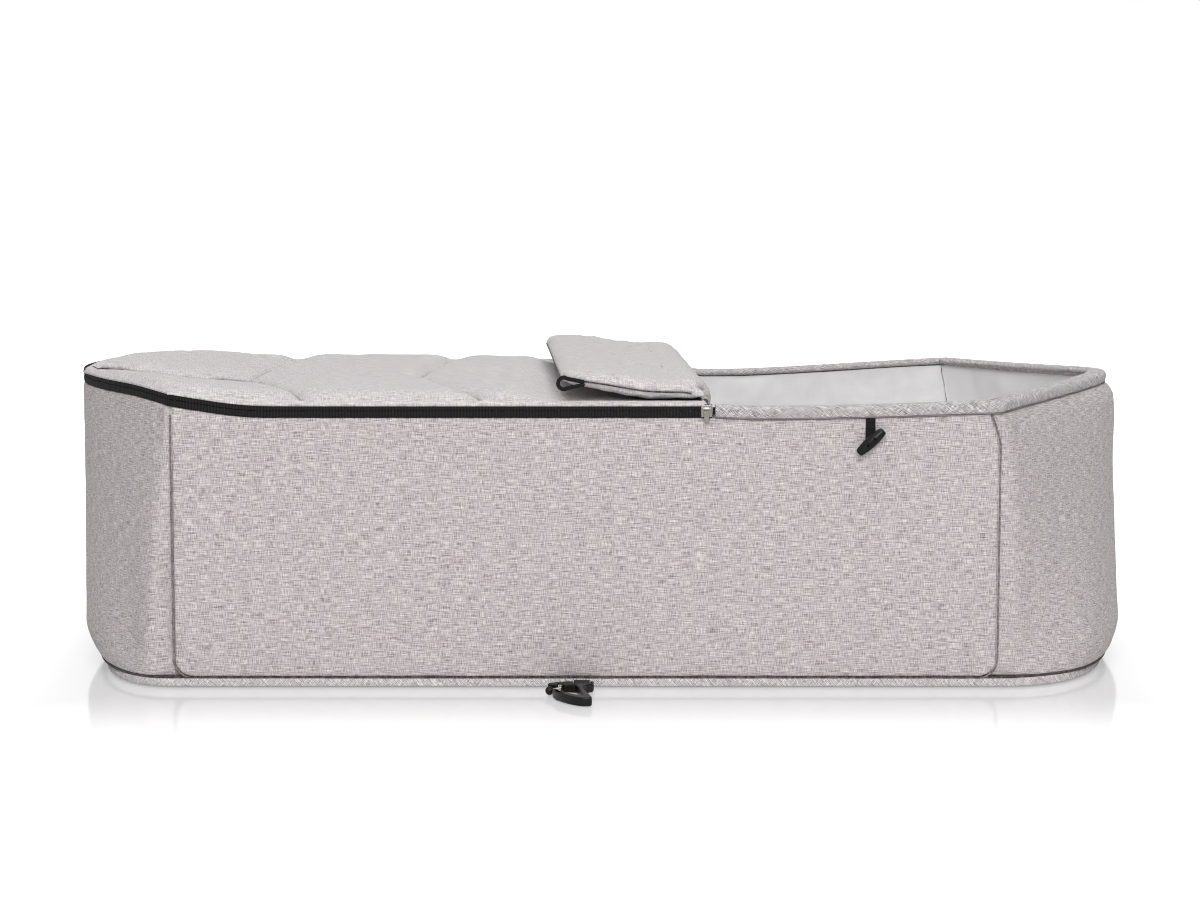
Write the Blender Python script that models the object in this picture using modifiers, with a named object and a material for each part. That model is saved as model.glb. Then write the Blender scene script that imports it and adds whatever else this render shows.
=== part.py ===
"""Soft fabric carrycot for a pushchair frame.

A sewn body stands on a stiff base. A quilted cover is zipped round the foot end, and its padded
wind flap is folded back on it. A toggle at each side takes the flap's ribbon loop, and a sprung
plastic hook on a webbing strap at the middle of each side holds the cot on its frame.

Metres, +Z up. The foot end is at -X, the head end at +X and the near side at -Y. The origin is
under the middle of the base, on the surface that the carrycot stands on.
"""

import math

import bmesh
import bpy
from mathutils import Matrix, Vector

# Body plan. The sides are straight between the foot corner and the head corner.
body_width = 0.340
foot_corner = 0.304
head_corner = 0.2835
foot_rim_reach = 0.0865
head_rim_reach = 0.1045
foot_nose_round = 0.150
head_nose_round = 0.020
foot_belly_reach = 0.0845
head_belly_reach = 0.1095
belly_power = 2.3

# Heights of the side panels' top edge, which the rim binding and the zip stand on.
side_top = 0.1935
foot_rise = 0.012
foot_rise_lead = 0.069
foot_rise_run = 0.110
head_rise = 0.0095
head_rise_run = 0.300
head_rise_power = 2.5

# The rim sags beside the open head part, more on the far side.
near_sag = 0.0012
near_sag_start = 0.079
near_sag_full = 0.110
far_sag = 0.0062
far_sag_start = 0.045
far_sag_full = 0.085
sag_end = 0.275

# The lower edge of each end is tucked in over the base.
edge_tuck = 0.017
edge_round_height = 0.030
edge_tuck_power = 1.5

# Gap left between sewn or seated pieces, and the play between pieces that move.
seam_gap = 0.0003
running_gap = 0.0004
level_margin = 0.000001
groove_width = 0.0032
corner_gap = 0.0008

# Base, from the floor up.
base_skin = 0.0019
base_board_thickness = 0.003
base_lining_thickness = 0.0012
binding_height = 0.0062
binding_width = 0.0046
base_skin_inset = 0.0012

# Wall layers, from the outer face inwards.
panel_thickness = 0.0035
core_thickness = 0.0060
lining_thickness = 0.0015
panel_edge_fall = 0.0014
panel_edge_round = 0.010
side_panel_corner = 0.013

# Mattress.
mattress_thickness = 0.027
mattress_side_play = 0.0025
mattress_crown = 0.006
mattress_edge_draw = 0.008

# Rim binding round the open head part.
rim_binding_height = 0.0092
rim_binding_proud = 0.0008
rim_binding_lap = 0.0008
rim_binding_leg = 0.0016

# Zip round the foot end.
zip_end = 0.079
tape_height = 0.0037
tape_thickness = 0.0012
tape_inset = 0.0006
zip_gap = 0.0017
coil_size = 0.0014
stop_length = 0.0018

# Slider and pull tab.
slider_length = 0.0076
slider_plate = 0.0013
slider_edge_play = 0.0003
staple_reach = 0.0024
staple_bar = 0.0009
staple_width = 0.0052
pull_width = 0.0036
pull_length = 0.0100
pull_thickness = 0.0010
pull_eye = 0.0009
pull_knuckle = 0.0015

# Quilted cover.
cover_edge_gap = 0.0011
cover_edge_thickness = 0.0016
cover_pad_thickness = 0.0030
cover_sag = 0.0016
cover_edge_flat = 0.008
quilt_puff = 0.0080
quilt_fullness = 0.45
cover_end = 0.0715
quilt_pitch = 0.1263
quilt_first = 0.0850
quilt_slant = 0.38
cover_lining_thickness = 0.0012
hem_radius = 0.0027

# Wind flap, folded back on the cover.
flap_length = 0.1070
flap_side_inset = 0.0015
flap_corner = 0.030
flap_hinge_low = 0.0020
flap_free_lift = 0.0078
flap_edge_round = 0.020
flap_hinge_thickness = 0.0110
flap_free_thickness = 0.0085

# Ribbon loops at the flap's free corners.
loop_stitch_back = 0.0250
loop_length = 0.0160
loop_radius = 0.0042
loop_ribbon_width = 0.0035
ribbon_thickness = 0.0008

# Toggles under the rim.
toggle_x = 0.1905
toggle_ribbon_width = 0.0066
toggle_ribbon_length = 0.0195
toggle_ribbon_thickness = 0.0014
toggle_length = 0.0240
toggle_radius = 0.00415
toggle_end_radius = 0.0026
toggle_hole_radius = 0.0013
toggle_hole_offset = 0.0028
toggle_tie_radius = 0.0008
toggle_tilt = math.radians(42.6)

# Chassis hooks on their straps.
hook_x = -0.022
strap_width = 0.0112
strap_thickness = 0.0011
strap_reach = 0.0105
bar_radius = 0.0021
bar_play = 0.0004
hook_half_thickness = 0.0032
hook_edge_round = 0.0007
hook_length = 0.0665
hook_ear = 0.0026
hook_eye_left = 0.0030
gate_x = -0.0060
gate_pivot = 0.0185
gate_hub_radius = 0.0018
gate_pin_radius = 0.0012
gate_length = 0.0235
knob_radius = 0.0031
knob_lever = 0.0110
knob_turn = math.radians(133)

# Shares and counts, chosen by hand.
side_step_shares = (0.0, 0.02, 0.06, 0.12, 0.20, 0.36, 0.52, 0.594, 0.62, 0.70, 0.74, 0.79, 0.84,
                    0.88, 0.93, 0.97, 1.0)
end_first_share = 0.08
end_steps = 6
wall_row_shares = (0.0, 0.035, 0.08, 0.14, 0.50, 0.94, 1.0)
station_margin = 0.005
quilt_steps = 6
cover_row_shares = (0.12, 0.26, 0.42, 0.60, 0.78, 0.92)
cover_edge_column_share = 0.05
flap_column_shares = (0.0, 0.03, 0.09, 0.16, 0.24, 0.36, 0.52, 0.70, 0.86, 0.96, 1.0)
flap_row_shares = (0.0, 0.35, 0.65, 0.86, 0.94, 0.98, 1.0)
flap_seam_share = 0.30
flap_edge_share = 0.22
turn_steps = 16
hook_leg_shares = ((0.248, 0.263), (0.196, 0.313), (0.168, 0.373), (0.162, 0.451), (0.184, 0.602),
                   (0.218, 0.782), (0.244, 0.902), (0.247, 0.962), (0.223, 0.995))
hook_front_shares = ((0.156, 1.0), (0.074, 0.953), (-0.010, 0.869), (-0.087, 0.759),
                     (-0.146, 0.639), (-0.171, 0.538), (-0.156, 0.508), (-0.126, 0.519))
hook_throat_shares = ((0.0, 0.722), (0.075, 0.805), (0.138, 0.830), (0.146, 0.797),
                      (0.122, 0.602), (0.095, 0.368), (0.068, 0.301), (0.0, 0.280))
hook_arm_shares = ((-0.165, 0.271), (-0.210, 0.268), (-0.226, 0.241), (-0.210, 0.207),
                   (-0.120, 0.150))

half_width = body_width / 2
binding_base = base_skin + seam_gap
wall_bottom = binding_base + binding_height + seam_gap
core_inset = panel_thickness + seam_gap
lining_inset = core_inset + core_thickness + seam_gap
wall_thickness = lining_inset + lining_thickness
zip_height = 2 * tape_height + zip_gap
side_length = foot_corner + head_corner
binding_start = zip_end + stop_length + 2 * seam_gap

for leftover in list(bpy.data.objects):
    bpy.data.objects.remove(leftover, do_unlink=True)

parts = bpy.data.collections.new("carrycot")
cutters = bpy.data.collections.new("carrycot_cutters")
bpy.context.scene.collection.children.link(parts)
bpy.context.scene.collection.children.link(cutters)


# Materials

def linear(value):
    return value / 12.92 if value <= 0.04045 else ((value + 0.055) / 1.055) ** 2.4


def finish(name, colour, roughness, metallic=0.0):
    """A Principled material from an sRGB hex colour."""
    material = bpy.data.materials.new(name)
    material.use_nodes = True
    shader = material.node_tree.nodes["Principled BSDF"]
    channels = [linear(int(colour[i:i + 2], 16) / 255) for i in (0, 2, 4)]
    shader.inputs["Base Color"].default_value = (*channels, 1.0)
    shader.inputs["Roughness"].default_value = roughness
    shader.inputs["Metallic"].default_value = metallic
    return material


FINISHES = {
    "melange_fabric": ("C4BCBD", 0.9, 0.0),
    "quilted_fabric": ("CFCBCB", 0.9, 0.0),
    "flap_fabric": ("CFC9C9", 0.9, 0.0),
    "binding_tape": ("C5BDBE", 0.85, 0.0),
    "lining_cotton": ("D2D0D1", 0.9, 0.0),
    "mattress_cover": ("DAD8D8", 0.9, 0.0),
    "stiffener_board": ("8E8B88", 0.7, 0.0),
    "wadding": ("E2E0DC", 0.95, 0.0),
    "zip_tape": ("312F31", 0.8, 0.0),
    "ribbon_black": ("262527", 0.75, 0.0),
    "webbing_black": ("242325", 0.8, 0.0),
    "plastic_black": ("1B1B1D", 0.4, 0.0),
    "steel": ("B9BBBD", 0.3, 1.0),
}
materials = {}


def place(thing, name, finish_name):
    """Name an object, give it its own material and put it in the object's collection."""
    thing.name = name
    thing.data.name = name
    label = f"{finish_name}_{name}"
    materials[label] = finish(label, *FINISHES[finish_name])
    thing.data.materials.clear()
    thing.data.materials.append(materials[label])
    for owner in list(thing.users_collection):
        owner.objects.unlink(thing)
    parts.objects.link(thing)
    return thing


# Loft: the one builder of sewn forms, whose sections differ along their way

def loft_mesh(loops, closed=False):
    """Faces through equal loops of points; the end loops are capped unless the loft is a ring.

    Each face is split from its upper corner down, so that two layers a gap apart stay apart.
    """
    mesh = bpy.data.meshes.new("loft")
    shape = bmesh.new()
    rows = [[shape.verts.new(point) for point in loop] for loop in loops]
    count = len(rows)
    for i in range(count if closed else count - 1):
        here, there = rows[i], rows[(i + 1) % count]
        for j in range(len(here)):
            k = (j + 1) % len(here)
            if here[j].co.z > here[k].co.z - level_margin:
                shape.faces.new((here[j], here[k], there[k]))
                shape.faces.new((here[j], there[k], there[j]))
            else:
                shape.faces.new((here[j], here[k], there[j]))
                shape.faces.new((here[k], there[k], there[j]))
    if not closed:
        shape.faces.new(rows[0])
        shape.faces.new(rows[-1])
    bmesh.ops.recalc_face_normals(shape, faces=shape.faces)
    if shape.calc_volume(signed=True) < 0.0:
        bmesh.ops.reverse_faces(shape, faces=shape.faces)
    shape.to_mesh(mesh)
    shape.free()
    return mesh


def loft(name, finish_name, loops, closed=False, origin=None):
    """A lofted piece; a moving one has its origin on its joint's axis."""
    mesh = loft_mesh(loops, closed)
    thing = bpy.data.objects.new(name, mesh)
    if origin is not None:
        mesh.transform(Matrix.Translation(-Vector(origin)))
        thing.location = origin
    mesh.shade_smooth()
    mesh.set_sharp_from_angle(angle=math.radians(40))
    return place(thing, name, finish_name)


# Plan and height of the body

def smooth_share(value, start, end):
    share = min(max((value - start) / (end - start), 0.0), 1.0)
    return share * share * (3.0 - 2.0 * share)


def end_reach(at_head, side_share, z):
    """How far the outer face reaches past the corner line, at a share of the half width."""
    rim_reach = head_rim_reach if at_head else foot_rim_reach
    nose_round = head_nose_round if at_head else foot_nose_round
    belly_reach = head_belly_reach if at_head else foot_belly_reach
    side_share = min(side_share, 1.0)
    slope_run = math.sqrt((rim_reach + nose_round) ** 2 - nose_round ** 2)
    rim = rim_reach + nose_round - math.hypot(slope_run * side_share, nose_round)
    belly = belly_reach * (1.0 - side_share ** belly_power) ** (1.0 / belly_power)
    up_share = min(max(z / side_top, 0.0), 1.0)
    low_share = max(1.0 - z / edge_round_height, 0.0)
    tuck = edge_tuck * low_share ** edge_tuck_power
    return (belly + (rim - belly) * up_share) * (1.0 - tuck / belly_reach)


def outline(station, z):
    """Outer face in plan. Stations 0 to 1 are the near side, then the head, far side and foot."""
    leg, share = divmod(station % 4.0, 1.0)
    if leg == 0:
        return Vector((side_length * share - foot_corner, -half_width))
    if leg == 2:
        return Vector((head_corner - side_length * share, half_width))
    across = math.sin((share - 0.5) * math.pi)
    if leg == 1:
        return Vector((head_corner + end_reach(True, abs(across), z), across * half_width))
    return Vector((-foot_corner - end_reach(False, abs(across), z), -across * half_width))


def near_station(x):
    return (x + foot_corner) / side_length


def far_station(x):
    return 2.0 + (head_corner - x) / side_length


def rim_height(x, y):
    """Top edge of the panels: up at both ends, and sagging a little beside the open part."""
    head_start = head_corner + head_rim_reach - head_rise_run
    head_share = min(max((x - head_start) / head_rise_run, 0.0), 1.0)
    foot_start = foot_corner - foot_rise_lead
    foot_share = smooth_share(-x, foot_start, foot_start + foot_rise_run)
    if y > 0.0:
        depth, start, full = far_sag, far_sag_start, far_sag_full
    else:
        depth, start, full = near_sag, near_sag_start, near_sag_full
    sag = depth * smooth_share(x, start, full) * (1.0 - smooth_share(x, full, sag_end))
    return side_top + head_rise * head_share ** head_rise_power + foot_rise * foot_share - sag


def top_at(station):
    spot = outline(station, side_top)
    return rim_height(spot.x, spot.y)


def stations_between(first, last):
    """The regular stations round the body from first to last, both kept."""
    zip_stations = [near_station(zip_end), near_station(binding_start)]
    side_shares = sorted([*side_step_shares, *zip_stations])
    first_step = [0.0, end_first_share]
    onward = [end_first_share + (0.5 - end_first_share) * i / end_steps
              for i in range(1, end_steps + 1)]
    half_end = first_step + onward
    end_shares = half_end + [1.0 - share for share in reversed(half_end[:-1])]
    regular = []
    for turn in range(-1, 3):
        for leg, shares in enumerate((side_shares, end_shares) * 2):
            flipped = [1.0 - share for share in reversed(shares)] if leg == 2 else shares
            regular += [4 * turn + leg + share for share in flipped[:-1]]
    spare = station_margin
    return [first] + [s for s in regular if first + spare < s < last - spare] + [last]


def offset_line(stations, heights, insets, plan_heights=None):
    """Points along the wall, moved inwards square to it, with mitred corners."""
    plan_heights = plan_heights or heights
    before_first = stations_between(stations[0] - 0.5, stations[0])[-2]
    after_last = stations_between(stations[-1], stations[-1] + 0.5)[1]
    spread = [before_first, *stations, after_last]
    levels = [plan_heights[0], *plan_heights, plan_heights[-1]]
    plan = [outline(station, level) for station, level in zip(spread, levels)]
    points = []
    for i, (z, inset) in enumerate(zip(heights, insets), start=1):
        before = (plan[i] - plan[i - 1]).normalized()
        after = (plan[i + 1] - plan[i]).normalized()
        inwards = (before + after).orthogonal() / (1.0 + before.dot(after))
        spot = plan[i] + inwards * inset
        points.append(Vector((spot.x, spot.y, z)))
    return points


def loops_along(stations, section, plan_z=None):
    """One loop for each station from a section, whose points are functions giving inset and z."""
    lines = []
    for spot in section:
        pairs = [spot(station) for station in stations]
        heights = [z for inset, z in pairs]
        insets = [inset for inset, z in pairs]
        levels = None if plan_z is None else [plan_z] * len(stations)
        lines.append(offset_line(stations, heights, insets, levels))
    return [list(loop) for loop in zip(*lines)]


def trimmed(loops, trim):
    """Draw both end loops back along the piece, to leave a gap to its neighbours."""
    for end, inner in ((0, 1), (-1, -2)):
        middle = sum(loops[end], Vector()) / len(loops[end])
        toward = sum(loops[inner], Vector()) / len(loops[inner]) - middle
        toward.z = 0.0
        shift = toward.normalized() * trim
        loops[end] = [point + shift for point in loops[end]]
    return loops


# Base

def ring_piece(name, finish_name, rings):
    """A flat piece in the base's outline, from rings of inset, height and plan height."""
    stations = stations_between(0.52, 4.52)[:-1]
    loops = []
    for inset, z, plan_z in rings:
        count = len(stations)
        loops.append(offset_line(stations, [z] * count, [inset] * count, [plan_z] * count))
    return loft(name, finish_name, loops)


board_base = binding_base
board_top = board_base + base_board_thickness
lining_base = board_top + seam_gap
floor_top = lining_base + base_lining_thickness
board_inset = binding_width + running_gap
ring_piece("base_panel", "melange_fabric",
           [(base_skin_inset, 0.0, 0.0), (base_skin_inset, base_skin, 0.0)])
ring_piece("base_board", "stiffener_board",
           [(board_inset, board_base, 0.0), (board_inset, board_top, 0.0)])
ring_piece("base_lining", "lining_cotton",
           [(board_inset, lining_base, 0.0), (board_inset, floor_top, 0.0)])


def base_binding():
    """Folded tape round the base edge: a rounded outer face on a flat inner one."""
    stations = stations_between(0.52, 4.52)[:-1]
    top = binding_base + binding_height
    profile = [
        (0.16 * binding_width, binding_base),
        (0.0, binding_base + 0.30 * binding_height),
        (0.05 * binding_width, binding_base + 0.72 * binding_height),
        (0.40 * binding_width, top),
        (binding_width, top),
        (binding_width, binding_base),
    ]
    section = [lambda station, inset=inset, z=z: (inset, z) for inset, z in profile]
    return loft("base_binding", "binding_tape", loops_along(stations, section, 0.0), closed=True)


base_binding()


# Walls

def wall(name, finish_name, first, last, outer, inner, trim, fall=0.0, corner=0.0, rise=0.0):
    """A wall layer between two insets. Panels fall back at their edges and have round corners."""
    stations = stations_between(first, last)
    ends = (outline(first, side_top), outline(last, side_top))

    def end_distance(station):
        spot = outline(station, side_top)
        return min((spot - ends[0]).length, (spot - ends[1]).length)

    def bottom_at(station):
        into = min(end_distance(station), corner)
        return wall_bottom + corner - math.sqrt(corner ** 2 - (corner - into) ** 2)

    def spot_at(share, inset, edge_fall):
        def spot(station):
            bottom = bottom_at(station)
            top = top_at(station) + rise
            z = bottom + (top - bottom) * share
            edge = min(z - bottom, top - z, end_distance(station))
            edge_share = max(1.0 - edge / panel_edge_round, 0.0)
            return inset + edge_fall * edge_share ** 2, z
        return spot

    section = [spot_at(share, outer, fall) for share in wall_row_shares]
    section += [spot_at(share, inner, 0.0) for share in reversed(wall_row_shares)]
    return loft(name, finish_name, trimmed(loops_along(stations, section), trim))


WALLS = (("near", "side", 0.0, 1.0), ("head", "end", 1.0, 2.0),
         ("far", "side", 2.0, 3.0), ("foot", "end", 3.0, 4.0))
for where, kind, first, last in WALLS:
    corner = side_panel_corner if kind == "side" else 0.0
    wall(f"{kind}_panel_{where}", "melange_fabric", first, last, 0.0, panel_thickness,
         groove_width / 2, panel_edge_fall, corner)
    core = ("side_board", "stiffener_board") if kind == "side" else ("end_foam", "wadding")
    wall(f"{core[0]}_{where}", core[1], first, last, core_inset,
         core_inset + core_thickness, corner_gap)
    wall(f"lining_{where}", "lining_cotton", first, last, lining_inset, wall_thickness,
         corner_gap)


# Mattress: crowned on top, with its edge drawn in above and below a fuller side

def mattress():
    stations = stations_between(0.52, 4.52)[:-1]
    count = len(stations)
    bottom = floor_top + seam_gap
    edge_inset = wall_thickness + mattress_side_play
    centre_x = (head_corner - foot_corner) / 2
    rings = ((mattress_edge_draw, 0.0), (0.18 * mattress_edge_draw, 0.22),
             (0.0, 0.48), (0.22 * mattress_edge_draw, 0.78), (mattress_edge_draw, 0.98))
    loops = []
    for draw, height_share in rings:
        z = bottom + mattress_thickness * height_share
        loops.append(offset_line(stations, [z] * count, [edge_inset + draw] * count))
    edge_loop = loops[-1]
    top = bottom + mattress_thickness
    for scale_share, crown_share in ((0.94, 0.30), (0.84, 0.68), (0.66, 1.0)):
        z = top + mattress_crown * crown_share
        loops.append([Vector((centre_x + (point.x - centre_x) * scale_share,
                              point.y * scale_share, z)) for point in edge_loop])
    return loft("mattress", "mattress_cover", loops)


mattress()


# Rim binding and zip

def rim_piece(name, finish_name, first, last, profile, trim=0.0):
    """A strip that follows the rim, from a profile of inset and height over the panels' top."""
    stations = stations_between(first, last)
    section = [lambda station, inset=inset, lift=lift: (inset, top_at(station) + lift)
               for inset, lift in profile]
    return loft(name, finish_name, trimmed(loops_along(stations, section), trim))


binding_inner = wall_thickness + seam_gap
rim_piece("rim_binding", "binding_tape", near_station(binding_start), far_station(binding_start), [
    (-rim_binding_proud / 2, seam_gap),
    (-rim_binding_proud, 0.45 * rim_binding_height),
    (-rim_binding_proud / 2, 0.82 * rim_binding_height),
    (0.20 * wall_thickness, rim_binding_height),
    (0.80 * wall_thickness, rim_binding_height),
    (binding_inner + rim_binding_leg, 0.72 * rim_binding_height),
    (binding_inner + rim_binding_leg, -rim_binding_lap),
    (binding_inner, -rim_binding_lap),
    (binding_inner, seam_gap),
])

zip_first, zip_last = far_station(zip_end), 4.0 + near_station(zip_end)
tape_back = tape_inset + tape_thickness
coil_front = tape_back + seam_gap
coil_back = coil_front + coil_size
upper_tape = tape_height + zip_gap
for where, bottom, coil_bottom in (
        ("lower", seam_gap, tape_height - coil_size),
        ("upper", upper_tape, upper_tape)):
    top = bottom + tape_height - (seam_gap if where == "lower" else 0.0)
    rim_piece(f"zip_tape_{where}", "zip_tape", zip_first, zip_last, [
        (tape_inset, bottom), (tape_inset, top), (tape_back, top), (tape_back, bottom)])
    rim_piece(f"zip_coil_{where}", "zip_tape", zip_first, zip_last, [
        (coil_front, coil_bottom), (coil_front, coil_bottom + coil_size),
        (coil_back, coil_bottom + 0.8 * coil_size), (coil_back, coil_bottom + 0.2 * coil_size)])

zip_lift = tape_height + zip_gap / 2
zip_centre = side_top + zip_lift
stop_half_height = tape_height / 2 + zip_gap / 2
for side, sign in (("near", -1.0), ("far", 1.0)):
    x = (zip_end + seam_gap, zip_end + seam_gap + stop_length)
    y = [sign * (half_width - inset) for inset in (tape_inset, coil_back)]
    middle = rim_height(zip_end, sign) + zip_lift
    z = (middle - stop_half_height, middle + stop_half_height)
    loft(f"zip_stop_{side}", "plastic_black", [
        [Vector((place_x, y[0], z[0])), Vector((place_x, y[0], z[1])),
         Vector((place_x, y[1], z[1])), Vector((place_x, y[1], z[0]))] for place_x in x])


# Quilted cover. Its columns run along the chevron seams, so that each seam is a line of points.

cover_half = half_width - tape_inset
cover_level = side_top + zip_height + cover_edge_gap + cover_edge_thickness - cover_sag
flap_free = cover_end - flap_length


def foot_edge(y):
    return -foot_corner - end_reach(False, abs(y) / half_width, side_top) + tape_inset


def quilt_guide(index, y):
    """The cover's foot edge, its three chevron seams and its head edge."""
    if index == 0:
        return foot_edge(y)
    if index == 4:
        return cover_end
    vertex = cover_end - quilt_first - quilt_pitch * (3 - index)
    return min(vertex + quilt_slant * abs(y), cover_end - quilt_first / 6)


def cover_columns():
    columns = []
    for cell in range(4):
        steps = [i / quilt_steps for i in range(quilt_steps)]
        if cell == 0:
            steps.insert(1, cover_edge_column_share)
        columns += [(cell, share) for share in steps]
    return columns + [(3, 1.0)]


def cover_rows():
    flat = cover_half - cover_edge_flat
    half = [0.0] + [flat * share for share in cover_row_shares] + [flat, cover_half]
    return [-y for y in reversed(half[1:])] + half


def cover_spot(cell, share, y):
    """A point of the cover: its place, its seam level and the puff of its quilting over that."""
    start, end = quilt_guide(cell, y), quilt_guide(cell + 1, y)
    x = start + (end - start) * share
    edge_level = rim_height(x, y) + zip_height + cover_edge_gap + cover_edge_thickness
    level = cover_level
    if cell == 0:
        foot_level = rim_height(start, y) + zip_height + cover_edge_gap + cover_edge_thickness
        level += (foot_level - cover_level) * (1.0 - share) ** 2
    at_edge = abs(y) > cover_half - 1.01 * cover_edge_flat
    if at_edge:
        level = edge_level
    across = abs(y) / cover_half
    puff = quilt_puff * (math.sin(math.pi * share) * math.sin(math.pi * across)) ** quilt_fullness
    pressed = smooth_share(x, flap_free - flap_corner, flap_free + flap_corner / 6)
    puff *= 1.0 - pressed
    thin = at_edge or (cell == 0 and share < cover_edge_column_share / 2)
    under = level - (cover_edge_thickness if thin else cover_pad_thickness)
    return x, level + max(puff, 0.0), under


rows = cover_rows()
top_loops = []
lining_loops = []
for column, (cell, share) in enumerate(cover_columns()):
    spots = [(y, *cover_spot(cell, share, y)) for y in rows]
    upper = [Vector((x, y, top)) for y, x, top, under in spots]
    lower = [Vector((x, y, under)) for y, x, top, under in spots]
    top_loops.append(upper + lower[::-1])
    if column > 0:
        inner = [point - Vector((0.0, 0.0, seam_gap)) for point in lower[1:-1]]
        facing = Vector((0.0, 0.0, cover_lining_thickness))
        lining_loops.append(inner + [point - facing for point in reversed(inner)])
loft("cover_top", "quilted_fabric", top_loops)
loft("cover_lining", "lining_cotton", lining_loops)

# Wind flap: a pad that is thin at its seam all round, a little thicker at its hinge

flap_half = half_width - flap_side_inset
flap_low = cover_level + flap_hinge_low
hinge_x = cover_end + seam_gap + hem_radius
hinge_z = flap_low + flap_hinge_thickness * flap_seam_share


def flap_levels(x):
    share = (x - flap_free) / flap_length
    low = flap_low + flap_free_lift * (1.0 - smooth_share(share, 0.05, 0.65))
    thickness = flap_free_thickness + (flap_hinge_thickness - flap_free_thickness) * share
    return low, thickness


def flap_half_at(x):
    into = min(x - flap_free, flap_corner)
    return flap_half - flap_corner + math.sqrt(flap_corner ** 2 - (flap_corner - into) ** 2)


def pad_swell(edge_distance):
    """Thickness share of the pad: thin at its seam, full a little way in."""
    into = min(edge_distance / flap_edge_round, 1.0)
    return flap_edge_share + (1.0 - flap_edge_share) * math.sqrt(1.0 - (1.0 - into) ** 2)


flap_loops = []
for column_share in flap_column_shares:
    x = flap_free + flap_length * column_share
    low, thickness = flap_levels(x)
    half = flap_half_at(x)
    along = pad_swell(min(column_share, 1.0 - column_share) * flap_length)
    seam = low + thickness * flap_seam_share
    upper, lower = [], []
    for row_share in [-share for share in reversed(flap_row_shares[1:])] + list(flap_row_shares):
        swell = thickness * min(along, pad_swell((1.0 - abs(row_share)) * half))
        y = half * row_share
        upper.append(Vector((x, y, seam + swell * (1.0 - flap_seam_share))))
        lower.append(Vector((x, y, seam - swell * flap_seam_share)))
    flap_loops.append(upper + lower[::-1])
loft("wind_flap", "flap_fabric", flap_loops, origin=(hinge_x, 0.0, hinge_z))


def cover_hem():
    """The cover's fold at its head edge, which stands up round the flap's hinge line."""
    half = half_width - binding_inner - rim_binding_leg - hem_radius
    low = cover_level - cover_pad_thickness
    loops = []
    for y in (-half, half):
        loop = [Vector((hinge_x + hem_radius * math.cos(angle), y,
                        hinge_z + hem_radius * math.sin(angle)))
                for angle in [math.pi * i / 8 for i in range(9)]]
        loop += [Vector((hinge_x - hem_radius, y, low)), Vector((hinge_x + hem_radius, y, low))]
        loops.append(loop)
    return loft("cover_hem", "flap_fabric", loops)


cover_hem()


# Ribbons: a flat section swept along a path, its width lying along one fixed direction

def ribbon(name, finish_name, path, across, widths, thickness, origin):
    loops = []
    for i, point in enumerate(path):
        before, after = path[max(i - 1, 0)], path[min(i + 1, len(path) - 1)]
        out = (after - before).normalized().cross(across).normalized() * thickness / 2
        side = across * widths[i] / 2
        loops.append([point + side + out, point + side - out,
                      point - side - out, point - side + out])
    return loft(name, finish_name, loops, origin=origin)


stitch_x = flap_free + loop_stitch_back
loop_low, loop_pad = flap_levels(stitch_x)
loop_z = loop_low + loop_pad * flap_seam_share
loop_centre_x = stitch_x - loop_length + loop_radius
for side, sign in (("near", -1.0), ("far", 1.0)):
    loop_face = flap_half_at(stitch_x) + seam_gap
    y = sign * (loop_face + loop_ribbon_width / 2)
    axis_z = loop_z + loop_radius + ribbon_thickness
    path = [Vector((stitch_x, y, loop_z + ribbon_thickness))]
    for i in range(11):
        angle = math.radians(52 + 256 * i / 10)
        path.append(Vector((loop_centre_x + loop_radius * math.cos(angle), y,
                            loop_z + loop_radius * math.sin(angle))))
    path.append(Vector((stitch_x, y, loop_z - ribbon_thickness)))
    ribbon(f"flap_loop_{side}", "ribbon_black", path, Vector((0.0, 1.0, 0.0)),
           [loop_ribbon_width] * len(path), ribbon_thickness,
           (loop_centre_x, sign * loop_face, axis_z))


# Zip slider with its staple, and the pull tab on that

slider_half = zip_height / 2 - slider_edge_play
plate_faces = (-slider_plate + tape_inset - seam_gap, tape_inset - seam_gap,
               coil_back + seam_gap, coil_back + seam_gap + slider_plate)
web_half = (zip_gap - 2 * running_gap) / 2
slider_end = zip_end - seam_gap
slider_x = slider_end - slider_length / 2


def near_y(inset):
    return -half_width + inset


slider_outline = [
    (plate_faces[0], -slider_half), (plate_faces[1], -slider_half), (plate_faces[1], -web_half),
    (plate_faces[2], -web_half), (plate_faces[2], -slider_half), (plate_faces[3], -slider_half),
    (plate_faces[3], slider_half), (plate_faces[2], slider_half), (plate_faces[2], web_half),
    (plate_faces[1], web_half), (plate_faces[1], slider_half), (plate_faces[0], slider_half)]
slider = loft("zip_slider", "steel", [
    [Vector((x, near_y(inset), zip_centre + lift)) for inset, lift in slider_outline]
    for x in (slider_end - slider_length, slider_end)])

staple_y = near_y(plate_faces[0]) - staple_reach
staple_foot_y = near_y(plate_faces[0]) + slider_plate / 3
staple_z = zip_centre + slider_half / 2
staple_path = [Vector((slider_x + sign * staple_width / 2, y, staple_z))
               for sign, y in ((-1, staple_foot_y), (-1, staple_y), (1, staple_y),
                               (1, staple_foot_y))]
staple_loops = []
for i, point in enumerate(staple_path):
    lean = Vector((-1.0 if i < 2 else 1.0, -1.0 if i in (1, 2) else 0.0, 0.0)) * staple_bar / 2
    up = Vector((0.0, 0.0, staple_bar / 2))
    staple_loops.append([point + lean + up, point + lean - up, point - lean - up,
                         point - lean + up])
staple = bpy.data.objects.new("slider_staple", loft_mesh(staple_loops))
cutters.objects.link(staple)


def as_tool(thing):
    """Mark a shape that only cuts or joins another."""
    thing.hide_render = True
    thing.display_type = "WIRE"
    for owner in list(thing.users_collection):
        owner.objects.unlink(thing)
    cutters.objects.link(thing)
    return thing


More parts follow.
